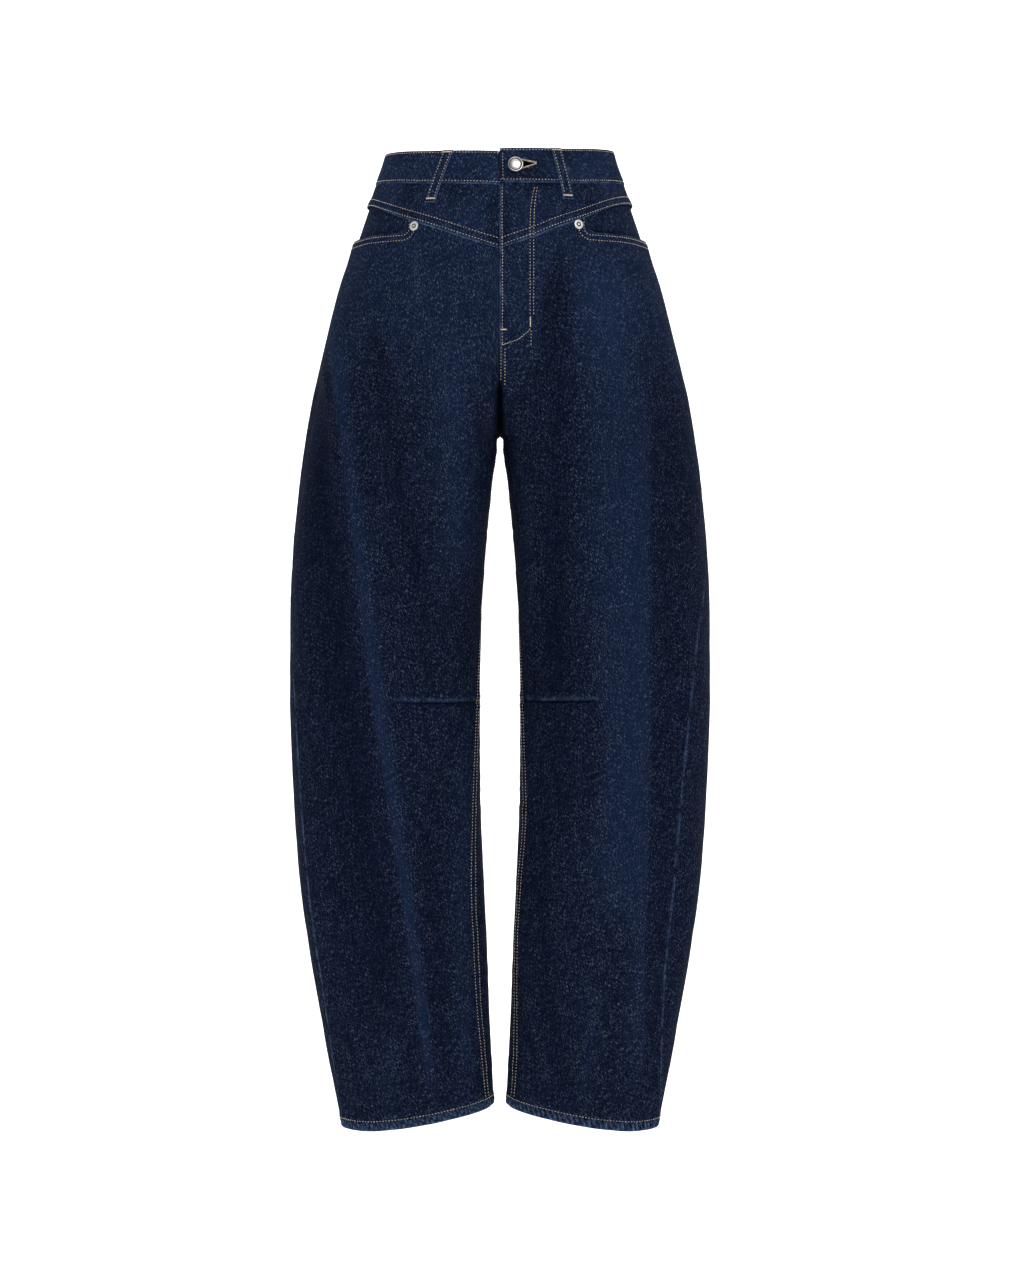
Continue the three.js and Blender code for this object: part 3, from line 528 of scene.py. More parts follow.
def tinted(tree, under, colour, *amounts):
    """A colour laid over another by the product of several amounts. Each amount is an output, the values of it
    that count as none and as all, and, where that isn't 1, how much all of it is."""
    share = 1.0
    for output, none, full, *top in amounts:
        fixed = {"Value": output, "From Min": none, "From Max": full, "To Max": top[0] if top else 1.0}
        risen = add_node(tree, "MapRange", fixed).outputs[0]
        share = add_node(tree, "Math", {0: share, 1: risen}, operation="MULTIPLY").outputs[0]
    return add_node(tree, "Mix", {0: share, 6: under, 7: colour}, data_type="RGBA").outputs[2]


def denim_material(name, *colours):
    """Indigo denim twill, rinsed once, which gives a matt, nearly black blue. The dyed warp runs down the cloth
    in uneven yarns, the weave's steep diagonal breaks it into short pale flecks of undyed weft, and raised edges
    have rubbed to light blue. Over this lie painted light and shade: ridges are painted bluer and smoother, a
    painted sheen that is partly rubbing, valleys get painted shade, and the buttonhole and the cleft under the fly
    are painted near black as shadow. The real diagonals are 0.9 mm apart, too fine for the picture, so they are
    drawn about 1.5 mm apart."""
    deep, mid, ridge_sheen_and_wear, pale, edge = (linear(colour) for colour in colours)

    def twill(tree):
        cut = add_node(tree, "UVMap", uv_map="cut").outputs["UV"]

        def threads(turned, across, along, detail):
            """Noise stretched along threads that lean by an angle, from spacings in metres."""
            leaning = add_node(tree, "Mapping", {"Vector": cut, "Rotation": (0, 0, np.radians(turned))})
            spacing = {"Vector": leaning.outputs[0], "Scale": (1 / across, 1 / along, 1)}
            spaced = add_node(tree, "Mapping", spacing).outputs[0]
            return add_node(tree, "TexNoise", {"Vector": spaced, "Scale": 1.0, "Detail": detail}).outputs["Fac"]

        yarn = threads(0, 0.0011, 0.012, 3.0)
        diagonal = threads(30, 0.0008, 0.0042, 1.0)
        breaks = threads(30, 0.0013, 0.0019, 1.0)
        patches = threads(15, 0.009, 0.02, 3.0)
        cloudy = threads(0, 0.03, 0.06, 4.0)
        painted = (add_node(tree, "Attribute", attribute_name=name) for name in ("shade", "worn", "smooth"))
        shade, worn, smooth = (channel.outputs["Fac"] for channel in painted)
        base = tinted(tree, deep, mid, (yarn, 0.38, 0.62))
        clouded = tinted(tree, base, deep, (cloudy, 0.36, 0.64, 0.5))
        # painted sheen on the ridges, partly rubbing
        raised = tinted(tree, clouded, ridge_sheen_and_wear, (shade, 0.0, 1.0, 0.7))
        # painted shade in the valleys
        shaded_valleys = tinted(tree, raised, linear("#030919"), (shade, 0.0, -1.0, 0.45))
        weft = (diagonal, 0.5, 0.68), (breaks, 0.4, 0.62), (patches, 0.2, 0.62)
        flecked = tinted(tree, shaded_valleys, pale, *weft, (smooth, 1.0, 0.0), (shade, -1.6, 1.6, 1.6))
        rubbed = tinted(tree, flecked, edge, (worn, 0.0, 1.0), (diagonal, 0.3, 0.6))
        # painted black shadow inside the buttonhole and in the cleft under the fly
        hollow = tinted(tree, rubbed, linear("#010204"), (shade, -1.3, -2.0))
        weave = add_node(tree, "Math", {0: diagonal, 1: yarn}, operation="MULTIPLY").outputs[0]
        relief = add_node(tree, "Bump", {"Height": weave, "Strength": 0.6, "Distance": 0.0007}).outputs[0]
        matt = {"Roughness": 0.9, "Specular IOR Level": 0.02}
        sheen = {"Sheen Weight": 0.015, "Sheen Roughness": 0.5, "Sheen Tint": linear("#7d9be0")}
        return add_node(tree, "BsdfPrincipled", {"Base Color": hollow, "Normal": relief, **matt, **sheen})

    return new_material(name, twill)


# The face of the cloth and its paler inside: hollow, warp, ridge (painted sheen, partly rubbing), weft and rubbed
# edge of each.
denim = denim_material("indigo_denim", "#060c1c", "#0d172f", "#1b2f50", "#5d6983", "#5f7da6")
denim_inside = denim_material("denim_inside", "#222e47", "#35435f", "#3d4b68", "#98a2b2", "#8b95a6")


def cloth_piece(node, leg, faces, cut, area, rests_on, **painted):
    """A wall of denim from its outer and inner face's points, that stands for a node, whose own part is hidden."""
    painted["worn"] = np.clip(painted.get("worn", 0.0), 0, 1)
    piece = cloth_wall(f"{node}_cloth", *faces, leg == "right", **painted)
    piece.data.materials.append(denim)
    piece.data.materials.append(denim_inside)
    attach(piece, "root")
    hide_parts(node)


WALL = 1.3
HEM_TURNING = 1.6
HEM_RISE = 0.45
MOUTH_CORNER = {"right": 93.5, "left": 87}
MOUTH_STEP = 6.5
MOUTH_EDGE = -83.5
MOUTH_FALL = 4
MOUTH_GAPE = 2.4
FLY_STEP = 1.5
FLY_WIDTH = 34
FLY_END = -190
FRONT_CUT = (0.365, 1.0)
FRONT_AREA = {"right": 0.235, "left": 0.223}
# painted light on the upper hips, the yokes, the waistband and the belt loops
HIP_PAINTED_LIGHT = 0.35
SEAM_RUBBING = {"right": 0.8, "left": 0.45}
INNER_ROWS = (1.7, 11.4)
INNER_LAP = {"wide": 13.4, "thick": 0.7}
SEAM_OVERLAP = 0.0003
KNEE_LEVELS = [-564.5, -566, -567.5, -569, -570.5, -572, -574]
mouth_turn = {leg: float(turn_at(MOUTH_CORNER[leg], MOUTH_EDGE, -1)) for leg in SIGN}


def mouth_edge(leg, turn):
    """The pocket mouth's edge: it falls evenly from the corner by the rivet to the outer seam."""
    run = (turn - mouth_turn[leg]) / (outer_seam_turn[leg](-85) - mouth_turn[leg])
    return MOUTH_EDGE - MOUTH_FALL * np.clip(run, 0, 1)


def yoke_distance(turn):
    """Distance from the centre front at which the front yoke's foot is looked up."""
    return np.where(turn < 0.5, body_form(turn, -70.0)[..., 0], 150)


def front_top(leg, turn):
    """The front's upper edge: the yoke's foot, and past the corner an S down to the pocket mouth's edge."""
    x = yoke_distance(turn)
    at_yoke = front_yoke_foot[leg](x)
    return at_yoke + (mouth_edge(leg, turn) - at_yoke) * ease((x - MOUTH_CORNER[leg]) / MOUTH_STEP)


def front_lift(leg, turn, z):
    """How far the front stands over the plain cloth: the fly's folded edge, the gaping pocket mouth and the
    lapped inner seam."""
    x = np.abs(body_form(turn, z)[..., 0])
    fly = FLY_STEP * (1 - ease((x - 8) / (FLY_WIDTH - 8))) * ease((z - FLY_END) / 25) * (leg == "left")
    top = front_top(leg, turn)
    gape = MOUTH_GAPE * ease((turn - mouth_turn[leg]) / 0.08) * (1 - ease((top - z) / (top + 118) / 0.95))
    inner_way = (turn - inner_forward[leg](z)) * ROUND
    lapped = INNER_LAP["thick"] * (1 - ease((inner_way - INNER_LAP["wide"]) / 2.5)) * ease((FORK - 4 - z) / 14)
    return (fly + lapped) * (turn < 0.4) + gape


def rolled_edge(distance, depth=0.8, reach=2.2):
    """How far a turned edge rolls down over its last stretch: a quarter round."""
    t = np.clip(1 - distance / reach, 0, 1)
    return depth * (1 - np.sqrt(1 - 0.98 * t * t))


def spread(count, width):
    """Shares across a piece of a width: even, with finer ones beside its two edges."""
    near = np.array((0.0, 0.7, 1.8)) / width
    return np.concatenate([near, np.linspace(3.4, width - 3.4, count) / width, 1 - near[::-1]])


def across_front(leg, share, z):
    """The turn at a share of the way from the middle to the outer seam."""
    seam = outer_seam_turn[leg](z) + SEAM_OVERLAP
    start = np.where(z <= FORK, inner_forward[leg](z), 0)
    clear = np.where(z > FORK, turn_at(0.15, z, -1), -0.0002)
    return start + (seam - start) * share + clear * (1 - ease(share / 0.12))


def level_rows(top, count):
    """Levels from top to the hem, evenly apart, with finer ones at the fork, the knee dart and the hem."""
    finer = [FORK + step for step in (6, 3, 1.2, 0, -1.2, -3, -6)] + KNEE_LEVELS
    finer += [HEM_LEVEL + 1, HEM_LEVEL + 2.2]
    return np.array(sorted(set(np.linspace(top, HEM_LEVEL, count).round(2)) | set(finer), reverse=True))


def tilted(level, x):
    """A level's true height: the lowest rows follow the curved hem."""
    return level + (hem_edge(x) - HEM_LEVEL) * ease((HEM_TILT_START - level) / (HEM_TILT_START - HEM_LEVEL))


def leg_grid(leg, across, shares, top_of, top_rows):
    """Turns and heights of a leg panel's grid: rows down from its own upper edge, then the shared levels."""
    start = top_of(leg, across(leg, shares, np.full(shares.shape, -84.0))) - 0.15
    down = np.linspace(0, 1, top_rows, endpoint=False)[:, None]
    upper = start + (LEVELS[0] - start) * down
    turns = np.concatenate([across(leg, shares, upper), across(leg, shares[None], LEVELS[:, None])])
    lower = tilted(LEVELS[:, None], body_form(turns[top_rows:], LEVELS[:, None])[..., 0])
    return turns, np.concatenate([upper, lower])


def dashes(distance, half_width, seed, along):
    """Rubbed dashes beside an edge: strongest on it, broken by noise along it."""
    return bell(distance, half_width) * (0.5 + 0.7 * soft_noise(seed, along, 0.5))


def hem_rubbing(turns, above_hem):
    """The pale slanting stripes of a roped hem, and the dashes rubbed along its fold."""
    stripes = 0.8 * np.clip(rope(turns, above_hem) - 0.1, 0, 1) * bell(above_hem - 4, 6)
    return stripes + 0.5 * dashes(above_hem - 0.5, 1.2, 24, turns * ROUND / 5)


def leg_faces(leg, turns, heights, outer_way, lift):
    """A leg panel's outer and inner face at a lift, with its outer edge and its hem turned under, and how much
    the two edges are rubbed."""
    above_hem = heights - hem_edge(np.abs(body_form(turns, heights)[..., 0]))
    in_hem = ease((HEM_DEPTH + 1.5 - above_hem) / 2)
    lift = lift + HEM_RISE * in_hem - rolled_edge(outer_way) - rolled_edge(above_hem, 1.0, 2.6)
    outer, inner, _ = on_cloth(leg, turns, heights, lift, lift - WALL - HEM_TURNING * in_hem)
    worn = SEAM_RUBBING[leg] * dashes(outer_way, 1.4, 21, heights / 5.5) * ease((-400 - heights) / 60)
    return outer, inner, worn + hem_rubbing(turns, above_hem)


def front_edge_rubbing(leg, outer, heights):
    """Rubbed dashes down the fly's folded edge, which lies on the left side of the centre front."""
    return 0.6 * dashes(outer[..., 0] - 0.8, 1.6, 25, heights / 7) * (leg == "left")


LEVELS = level_rows(-118, 300)
for leg in SIGN:
    turns, heights = leg_grid(leg, across_front, spread(78, 235), front_top, 14)
    outer_way = (outer_seam_turn[leg](heights) - turns) * ROUND
    inner_way = (turns - inner_forward[leg](heights)) * ROUND
    from_top = front_top(leg, turns) - heights
    at_mouth = ease((turns - mouth_turn[leg]) / 0.02)
    lift = front_lift(leg, turns, heights) - rolled_edge(from_top, 0.6) * at_mouth
    outer, inner, worn = leg_faces(leg, turns, heights, outer_way, lift)
    worn += 0.5 * dashes(from_top, 1.6, 22, turns * 110) * at_mouth
    worn += 0.45 * dashes(inner_way - 0.8, 1.6, 23, heights / 6) * (heights < FORK - 20)
    worn += front_edge_rubbing(leg, outer, heights) * ease((heights + 225) / 30)
    x = np.abs(outer[..., 0])
    on_dart = ease((KNEE_DART[leg]["end"] - x) / 12) * (turns < 0.4)
    worn += 0.32 * dashes(over_dart(leg, x, heights) - 3.2, 2.0, 26, outer[..., 0] / 3.0) * on_dart
    # rubbed is the folds' painted light and shade, partly rubbing: painted shade in the valleys, painted sheen on
    # the ridges
    rubbed = fold_shading_and_wear(leg, turns, heights)
    # a painted shadow along the knee dart's line
    shade = rubbed - 1.9 * bell(over_dart(leg, x, heights), 1.1) * on_dart
    # painted light towards the hips
    shade += HIP_PAINTED_LIGHT * ease((heights + 300) / 170)
    # a painted black shadow in the cleft under the fly
    shade -= 2.6 * bell(x, 4.2) * ease((-226 - heights) / 26) * ease((heights + 310) / 16)
    # fewer weft flecks on the ridges' painted sheen
    sheen_smoothing = 0.45 * ease((rubbed - 0.25) / 0.3)
    sheet = FRONT_CUT, FRONT_AREA[leg], [f"front_yoke_{leg}"]
    cloth_piece(f"front_leg_{leg}", leg, (outer, inner), *sheet, worn=worn, shade=shade, smooth=sheen_smoothing)


# Leg backs.
# The back of each leg is cut wider than the front, so that the outer seam comes round to the front below the
# hip. It is felled under the front at the inner seam, and the two backs meet in the seat seam.
BACK_YOKE_SIDE = -46
BACK_YOKE_MIDDLE = -88
BACK_CUT = (0.37, 1.02)
BACK_AREA = {"right": 0.29, "left": 0.302}


def across_back(leg, share, z):
    """The turn at a share of the way from the outer seam to the middle."""
    seam = outer_seam_turn[leg](z) - SEAM_OVERLAP
    end = 1 + np.where(z <= FORK, inner_forward[leg](z), 0)
    clear = np.where(z > FORK, 1 - turn_at(0.15, z, 1), -0.0002)
    return seam + (end - seam) * share - clear * (1 - ease((1 - share) / 0.12))


def back_top(leg, turn):
    """The back yoke's foot: it falls in an S from the outer seam to the centre back."""
    seam = outer_seam_turn[leg](-60)
    share = np.clip((turn - seam) / (1 - seam), 0, 1)
    return BACK_YOKE_SIDE + (BACK_YOKE_MIDDLE - BACK_YOKE_SIDE) * ease(share) ** 0.9


for leg in SIGN:
    turns, heights = leg_grid(leg, across_back, spread(84, 265), back_top, 16)
    outer_way = (turns - outer_seam_turn[leg](heights)) * ROUND
    inner_way = (1 + inner_forward[leg](heights) - turns) * ROUND
    lift = -rolled_edge(inner_way, 0.5) * (heights < FORK)
    outer, inner, worn = leg_faces(leg, turns, heights, outer_way, lift)
    # painted light and shade from the folds, partly rubbing, weaker on the back
    shade = 0.55 * fold_shading_and_wear(leg, turns, heights)
    sheet = BACK_CUT, BACK_AREA[leg], [f"back_yoke_{leg}"]
    cloth_piece(f"back_leg_{leg}", leg, (outer, inner), *sheet, worn=worn, shade=shade)


# Front and back yokes.
# Shaped bands between the waistband and the legs; the front pair meets in a point over the fly.
# Their lower edges are turned under and lapped over the legs, so they stand a cloth's thickness proud.
BAND_EDGES = table(
    "turn top_right top_left foot",
    [
        (0, 0, 0, -36.5),
        (0.25, 1.3, 3.2, -33.8),
        (0.4, 6.2, 9.2, -27),
        (0.5, 9.6, 13, -22.5),
        (0.75, 16, 16.5, -17),
        (1, 19, 19, -16),
    ],
)
BAND_MISMATCH = 1.2  # how far the buttoned end sits too high and the end under it too low
YOKE_TUCK = 1.2  # how far the yokes' tops go up into the waistband
YOKE_OUT = 1.25  # how far a yoke's lapped foot stands out over the leg
band_curve = {edge: curve_through(BAND_EDGES, "turn", edge) for edge in ("top_right", "top_left", "foot")}
LAP = 1.6
YOKE_CUT = {-1: (0.236, 0.07), 1: (0.192, 0.078)}
YOKE_AREA = {-1: 0.009, 1: 0.0088}


def band_edge(edge, leg, turn):
    """Height of the waistband's top or foot; the buttoned end sits a little higher than the end under it, and
    the right end steps up to it just at the centre front."""
    drift = SIGN[leg] * BAND_MISMATCH * (1 - ease(turn / 0.25))
    step_up = 2 * BAND_MISMATCH * (1 - ease(turn / 0.05)) * (leg == "right")
    follow = band_curve["foot" if edge == "foot" else f"top_{leg}"]
    return follow(turn) + drift + step_up


for leg in SIGN:
    for face, across in ((-1, across_front), (1, across_back)):
        shares = spread(72, 150 if face < 0 else 135)
        near = across(leg, shares, np.full(shares.shape, MOUTH_EDGE if face < 0 else BACK_YOKE_SIDE))
        foot = (front_yoke_foot[leg](yoke_distance(near)) if face < 0 else back_top(leg, near)) - LAP
        top = band_edge("foot", leg, near) + YOKE_TUCK
        down = np.concatenate([np.linspace(0, 0.93, 26), [0.955, 0.98, 1]])[:, None]
        heights = top + (foot - top) * down
        turns = across(leg, shares, heights)
        to_foot = heights - foot
        lift = YOKE_OUT * (1 - ease((to_foot - 3) / 9)) + 0.12 * soft_noise(31, turns * ROUND / 8, heights / 14)
        if face < 0:
            lift += front_lift(leg, np.minimum(turns, mouth_turn[leg]), heights) * (turns < 0.3)
        over_leg = ease((LAP + 1.2 - to_foot) / 1.0)
        under = (lift - WALL) * (1 - over_leg) + (lift - 1.05) * over_leg
        outer, inner, _ = on_cloth(leg, turns, heights, lift - rolled_edge(to_foot, 0.7, 1.8), under)
        worn = 0.7 * dashes(to_foot, 1.3, 32, turns * ROUND / 6)
        if face < 0:
            worn += front_edge_rubbing(leg, outer, heights)
        name = f"{'front' if face < 0 else 'back'}_yoke_{leg}"
        # painted light, as over the hips, with random tone
        shade = HIP_PAINTED_LIGHT + 0.35 * soft_noise(33, turns * 20, heights / 30)
        sheet = YOKE_CUT[face], YOKE_AREA[face], ["waistband"]
        cloth_piece(name, leg, (outer, inner), *sheet, worn=worn, shade=shade)


# Hip facings.
# The piece of the same denim that shows behind each curved pocket mouth and closes the hip.
# It is sewn in under the yoke and lies behind the front.
FACING_TAIL = 24
FACING_DEPTH = 2.1
FACING_CUT = (0.16, 0.07)
FACING_AREA = 0.0089
FACING_INSET = 0.0004
for leg in SIGN:
    start = mouth_turn[leg] - 0.018
    shares = spread(36, 90)
    near = start + (outer_seam_turn[leg](-84.0) - FACING_INSET - start) * shares
    top = front_yoke_foot[leg](yoke_distance(near)) - 0.2
    foot = mouth_edge(leg, near) - FACING_TAIL
    heights = top + (foot - top) * np.linspace(0, 1, 26)[:, None]
    turns = start + (outer_seam_turn[leg](heights) - FACING_INSET - start) * shares
    faces = on_cloth(leg, turns, heights, -FACING_DEPTH, -FACING_DEPTH - WALL)[:2]
    into_shadow = ease((mouth_edge(leg, turns) + 6 - heights) / 6)
    sheet = FACING_CUT, FACING_AREA, [f"front_yoke_{leg}"]
    # painted light over the facing, with painted shadow under the pocket mouth's edge
    cloth_piece(f"pocket_facing_{leg}", leg, faces, *sheet, shade=0.25 - 0.7 * into_shadow)


# Waistband.
# One straight strip folded double, with the turned edge at the top. It starts at the buttoned end over the
# centre front, goes round the back and ends under its own start. The buttonhole gapes beside the button.
BAND_WALL = 2.4
BAND_OUT = 0.6
UNDERLAP = 36
OVERLAP_OUT = BAND_WALL + 0.3
OVERLAP_FADE = 0.12
BAND_ROUND = 345
BAND_CUT = (0.78, 0.037)
BUTTONHOLE = {"start": 21, "end": 38.4, "middle": -15.4, "rise": 1.3, "half": 4.6, "deep": 1.7}
under_turn = float(turn_at(UNDERLAP, -15, -1))


def band_overlap(turn):
    """How far the buttoned end stands out over the end below it."""
    return OVERLAP_OUT * (1 - ease((turn - under_turn) / OVERLAP_FADE))


def along_band(journey):
    """The turn, and whether it is on the wearer's left, along the band's journey: 0 at the buttoned end, 1 at
    the centre back, 2 at the centre front again and on under the start."""
    turn = np.where(journey <= 1, journey, np.where(journey <= 2, 2 - journey, journey - 2))
    return turn, (journey <= 1) | (journey > 2)


def band_level(edge, journey):
    """Height of the band's top or foot along its journey."""
    turn, on_left = along_band(journey)
    return np.where(on_left, band_edge(edge, "left", turn), band_edge(edge, "right", turn))


def band_surface(journey, z):
    """Points on the band's outer face and their outward directions, along its journey."""
    turn, on_left = along_band(journey)
    flip = np.stack([np.where(on_left, 1.0, -1.0), np.ones(turn.shape), np.ones(turn.shape)], -1)
    normal = form_facing(turn, z)
    out = BAND_OUT + np.where(journey < 1, band_overlap(turn), 0)
    return (body_form(turn, z) + normal * out[..., None]) * flip, normal * flip


def in_buttonhole(x, z):
    """1 inside the gaping buttonhole and 0 outside it: a wedge that narrows away from the button."""
    h = BUTTONHOLE
    along = (x - h["start"]) / (h["end"] - h["start"])
    off = np.abs(z - h["middle"] - h["rise"] * along)
    return ease((h["half"] * (1 - along) + 0.2 - off) / 0.7) * (x > h["start"]) * (x < h["end"])


at_button, round_body = np.linspace(0.045, 0.14, 64), np.linspace(0.15, 1.985, 236)
under_start = 2 + under_turn * np.linspace(0.08, 1, 16)
journey = np.concatenate([[0, 0.004, 0.012, 0.028], at_button, round_body, [1.9925, 2], under_start])
down = np.concatenate([[0, 0.012, 0.035, 0.07], np.linspace(0.1, 0.93, 44), [0.965, 0.985, 1]])[:, None]
top = band_level("top", journey)
foot = band_level("foot", journey) + 0.15
heights = top + (foot - top) * down
journey = np.broadcast_to(journey, heights.shape)
points, normals = band_surface(journey, heights)
way, from_top, to_foot = journey * BAND_ROUND, top - heights, heights - foot
hole = in_buttonhole(points[..., 0], heights) * (journey < 0.5)
puckers = 0.22 * soft_noise(41, way / 7, heights / 12) + 0.25 * soft_noise(42, way / 26, heights / 20)
puckers -= 0.3 * bell(from_top - 2.2, 1.0) + 0.3 * bell(to_foot - 3.2, 1.0)
face = 0.3 + puckers - rolled_edge(from_top, 1.1, 1.8) - rolled_edge(to_foot, 0.7, 1.6)
face -= rolled_edge(way, 0.9, 2.4) + BUTTONHOLE["deep"] * hole
back = -BAND_WALL + 0.1 + rolled_edge(from_top, 0.9, 1.8) + 0.6 * ease((1.8 - to_foot) / 1.2)
worn = 0.5 * dashes(from_top, 1.0, 43, way / 6) + 0.45 * dashes(to_foot - 0.6, 1.3, 44, way / 6)
worn += 0.9 * dashes(way - 0.5, 1.8, 45, heights / 5)
# painted light with random tone on the band, and painted black shadow inside the gaping buttonhole
shade = (HIP_PAINTED_LIGHT + 0.4 * soft_noise(46, way / 30, heights / 26)) * (1 - hole) - 2 * hole
faces = points + normals * face[..., None], points + normals * back[..., None]
sheet = BAND_CUT, None, ["front_yoke_right", "front_yoke_left", "back_yoke_right"]
cloth_piece("waistband", "left", faces, *sheet, worn=np.clip(worn, 0, 1) * (1 - hole), shade=shade)


# Belt loops.
# Narrow strips folded in three, two at the front and three at the back, bar tacked over the waistband.
# Each bows off the band a little and its foot is folded under just below the tack.
LOOPS = table(
    "leg face top foot reach",
    [(-1, -1, 56, 71, 20), (1, -1, 61, 70, 17), (-1, 1, 78, 80, 19), (1, 1, 78, 80, 19), (1, 1, 0, 0, 19)],
)
LOOP_NAMES = ("front_right", "front_left", "back_right", "back_left", "back_centre")
LOOP_WIDTH = 11
LOOP_WALL = 2.0
LOOP_SLACK = 1.6
LOOP_CUT = (0.057, 0.012)
LOOP_AREA = 0.00067


def loop_surface(loop, down, side):
    """Points on a loop's outer face, down from its top (0) to its foot (1) and from side to side (-1 to 1):
    a line over the band, bowed outwards between its ends and slightly crowned."""
    leg = "left" if loop["leg"] > 0 else "right"
    top_turn = float(turn_at(loop["top"], -20, loop["face"])) if loop["top"] else 1.0
    foot_turn = float(turn_at(loop["foot"], -50, loop["face"])) if loop["foot"] else 1.0
    top_z = band_edge("top", leg, top_turn) - 0.5
    foot_z = band_edge("foot", leg, foot_turn) - loop["reach"]
    turn = top_turn + (foot_turn - top_turn) * down
    z = top_z + (foot_z - top_z) * down
    normal = form_facing(turn, z)
    sideways = np.stack([-normal[..., 1], normal[..., 0], np.zeros(normal.shape[:-1])], -1)
    sideways /= np.linalg.norm(sideways, axis=-1, keepdims=True)
    out = BAND_OUT + (band_overlap(turn) if loop["face"] < 0 and leg == "left" else 0)
    bow = LOOP_SLACK * np.sin(np.pi * np.minimum(1, down * 1.05))
    crown = 0.35 * (1 - side**2) + 0.1 * np.sin(down * 31 + side)
    base = body_form(turn, z) + normal * (out + bow + LOOP_WALL - 0.05 + crown)[..., None]
    flip = np.array([SIGN[leg], 1, 1])
    return (base + sideways * (side * LOOP_WIDTH / 2)[..., None]) * flip, normal * flip


for loop, name in zip(LOOPS, LOOP_NAMES):
    across = [-1, -0.93, -0.7, -0.35, 0, 0.35, 0.7, 0.93, 1]
    down, side = np.meshgrid(np.linspace(0, 1, 46), across, indexing="ij")
    points, normals = loop_surface(loop, down, side)
    edge = (np.abs(side) > 0.97) * 0.5 + (np.abs(side) > 0.9) * 0.15
    tack = 0.35 * (bell(down - 0.04, 0.02) + bell(down - 0.93, 0.02))
    outer = points - normals * (edge + tack)[..., None]
    inner = points - normals * (LOOP_WALL - 0.2 - edge * 0.6)[..., None]
    worn = 0.6 * bell(np.abs(side) - 1, 0.12) + 0.5 * (down > 0.98)
    sheet = LOOP_CUT, LOOP_AREA, ["waistband"]
    leg = "right" if loop["leg"] < 0 else "left"
    # painted light, as over the hips
    cloth_piece(f"belt_loop_{name}", leg, (outer, inner), *sheet, worn=worn, shade=HIP_PAINTED_LIGHT)


# Back patch pockets.
# Plain pockets with a shallow point, turned in all round and sewn on with two rows.
# Their mouths are hemmed with a deeper turning.
BACK_POCKET = {"top": -112, "inner": 30, "outer": 124, "side": 118, "point": 138, "taper": 11}
POCKET_WIDE = 92  # the pocket's own size along the cloth, to turn shares into millimetres
POCKET_DEEP = 125
POCKET_LIFT = 1.75
POCKET_CUT = (0.103, 0.139)
POCKET_AREA = 0.0122


def pocket_place(u, down):
    """Turn and height on a back pocket: u from its outer edge (0) to its inner edge (1), down from its mouth."""
    p = BACK_POCKET
    length = p["side"] + (p["point"] - p["side"]) * (1 - np.abs(2 * u - 1))
    z = p["top"] - 5 * u - length * down
    inner = p["inner"] + p["taper"] * down * 0.5
    outer = p["outer"] - p["taper"] * down * 0.5
    return turn_at(outer + (inner - outer) * u, z, 1), z


for leg in SIGN:
    u, down = np.meshgrid(np.linspace(0, 1, 50), np.linspace(0, 1, 64))
    turns, heights = pocket_place(u, down)
    to_edge = np.minimum(np.minimum(u, 1 - u) * POCKET_WIDE, np.minimum(down, 1 - down) * POCKET_DEEP)
    lift = POCKET_LIFT - rolled_edge(to_edge, 0.7) + 0.15 * soft_noise(51, u * 14, down * 18)
    lift += 0.5 * bell(down * POCKET_DEEP, 7)
    faces = on_cloth(leg, turns, heights, lift, 0.25)[:2]
    worn = 0.5 * dashes(to_edge, 1.6, 52, (u + down) * 18)
    sheet = POCKET_CUT, POCKET_AREA, [f"back_leg_{leg}"]
    cloth_piece(f"back_pocket_{leg}", leg, faces, *sheet, worn=worn, shade=0.2)


# Topstitching.
# Thick spun thread in tan, sewn three stitches to the centimetre, in single and double rows beside the seams.
# Each stitch is a short sausage of thread whose ends dive into the cloth. Bar tacks and the buttonhole are the
# same thread laid side by side.
PITCH = 3.3
STITCH = {"length": 1.75, "radius": 0.3}
THREAD_SIDES = 5
BAR_TACK = {"pitch": 0.55, "length": 1.5, "across": True}
LOOP_TACK = {"pitch": 0.6, "length": 1.9, "across": True}
HOLE_EDGING = {"pitch": 0.75, "length": 1.9, "across": True}
TACK_LINE = 40  # points worked out along a bar tack
LINE = 260  # points worked out along each other sewn line
sewn = {name: [] for name in ("front_topstitching", "back_topstitching", "hem_stitching", "waist_stitching")}


def sew(batch, points, normals, pitch=PITCH, length=STITCH["length"], across=False):
    """Stitches along a sewn line, one every pitch of its running length, or laid across it: each is four rings
    of five points whose end rings are pinched and sunk."""
    steps = np.linalg.norm(np.diff(points, axis=0), axis=1)
    run = np.concatenate([[0], np.cumsum(steps)])
    centres = np.arange(pitch / 2, max(run[-1] - pitch / 4, pitch), pitch)

    def at_run(values, where):
        return np.stack([np.interp(where, run, values[:, k]) for k in range(3)], -1)

    up = at_run(normals, centres)
    up /= np.linalg.norm(up, axis=1, keepdims=True)
    ahead = at_run(points, centres + 0.4) - at_run(points, centres - 0.4)
    ahead /= np.linalg.norm(ahead, axis=1, keepdims=True)
    beside = np.cross(ahead, up)
    if across:
        ahead, beside = beside, -ahead
    stations = np.array([-0.5, -0.3, 0.3, 0.5]) * length
    sunk = np.array([-0.42, 0.12, 0.12, -0.42])
    thin = np.array([0.45, 1, 1, 0.45]) * STITCH["radius"]
    middle = at_run(points, centres)[:, None] + ahead[:, None] * stations[:, None] + up[:, None] * sunk[:, None]
    angle = np.linspace(0, 2 * np.pi, THREAD_SIDES, endpoint=False)[:, None]
    ring = np.cos(angle) * beside[:, None, None] + np.sin(angle) * up[:, None, None]
    sewn[batch].append(middle[:, :, None] + ring * thin[:, None, None])


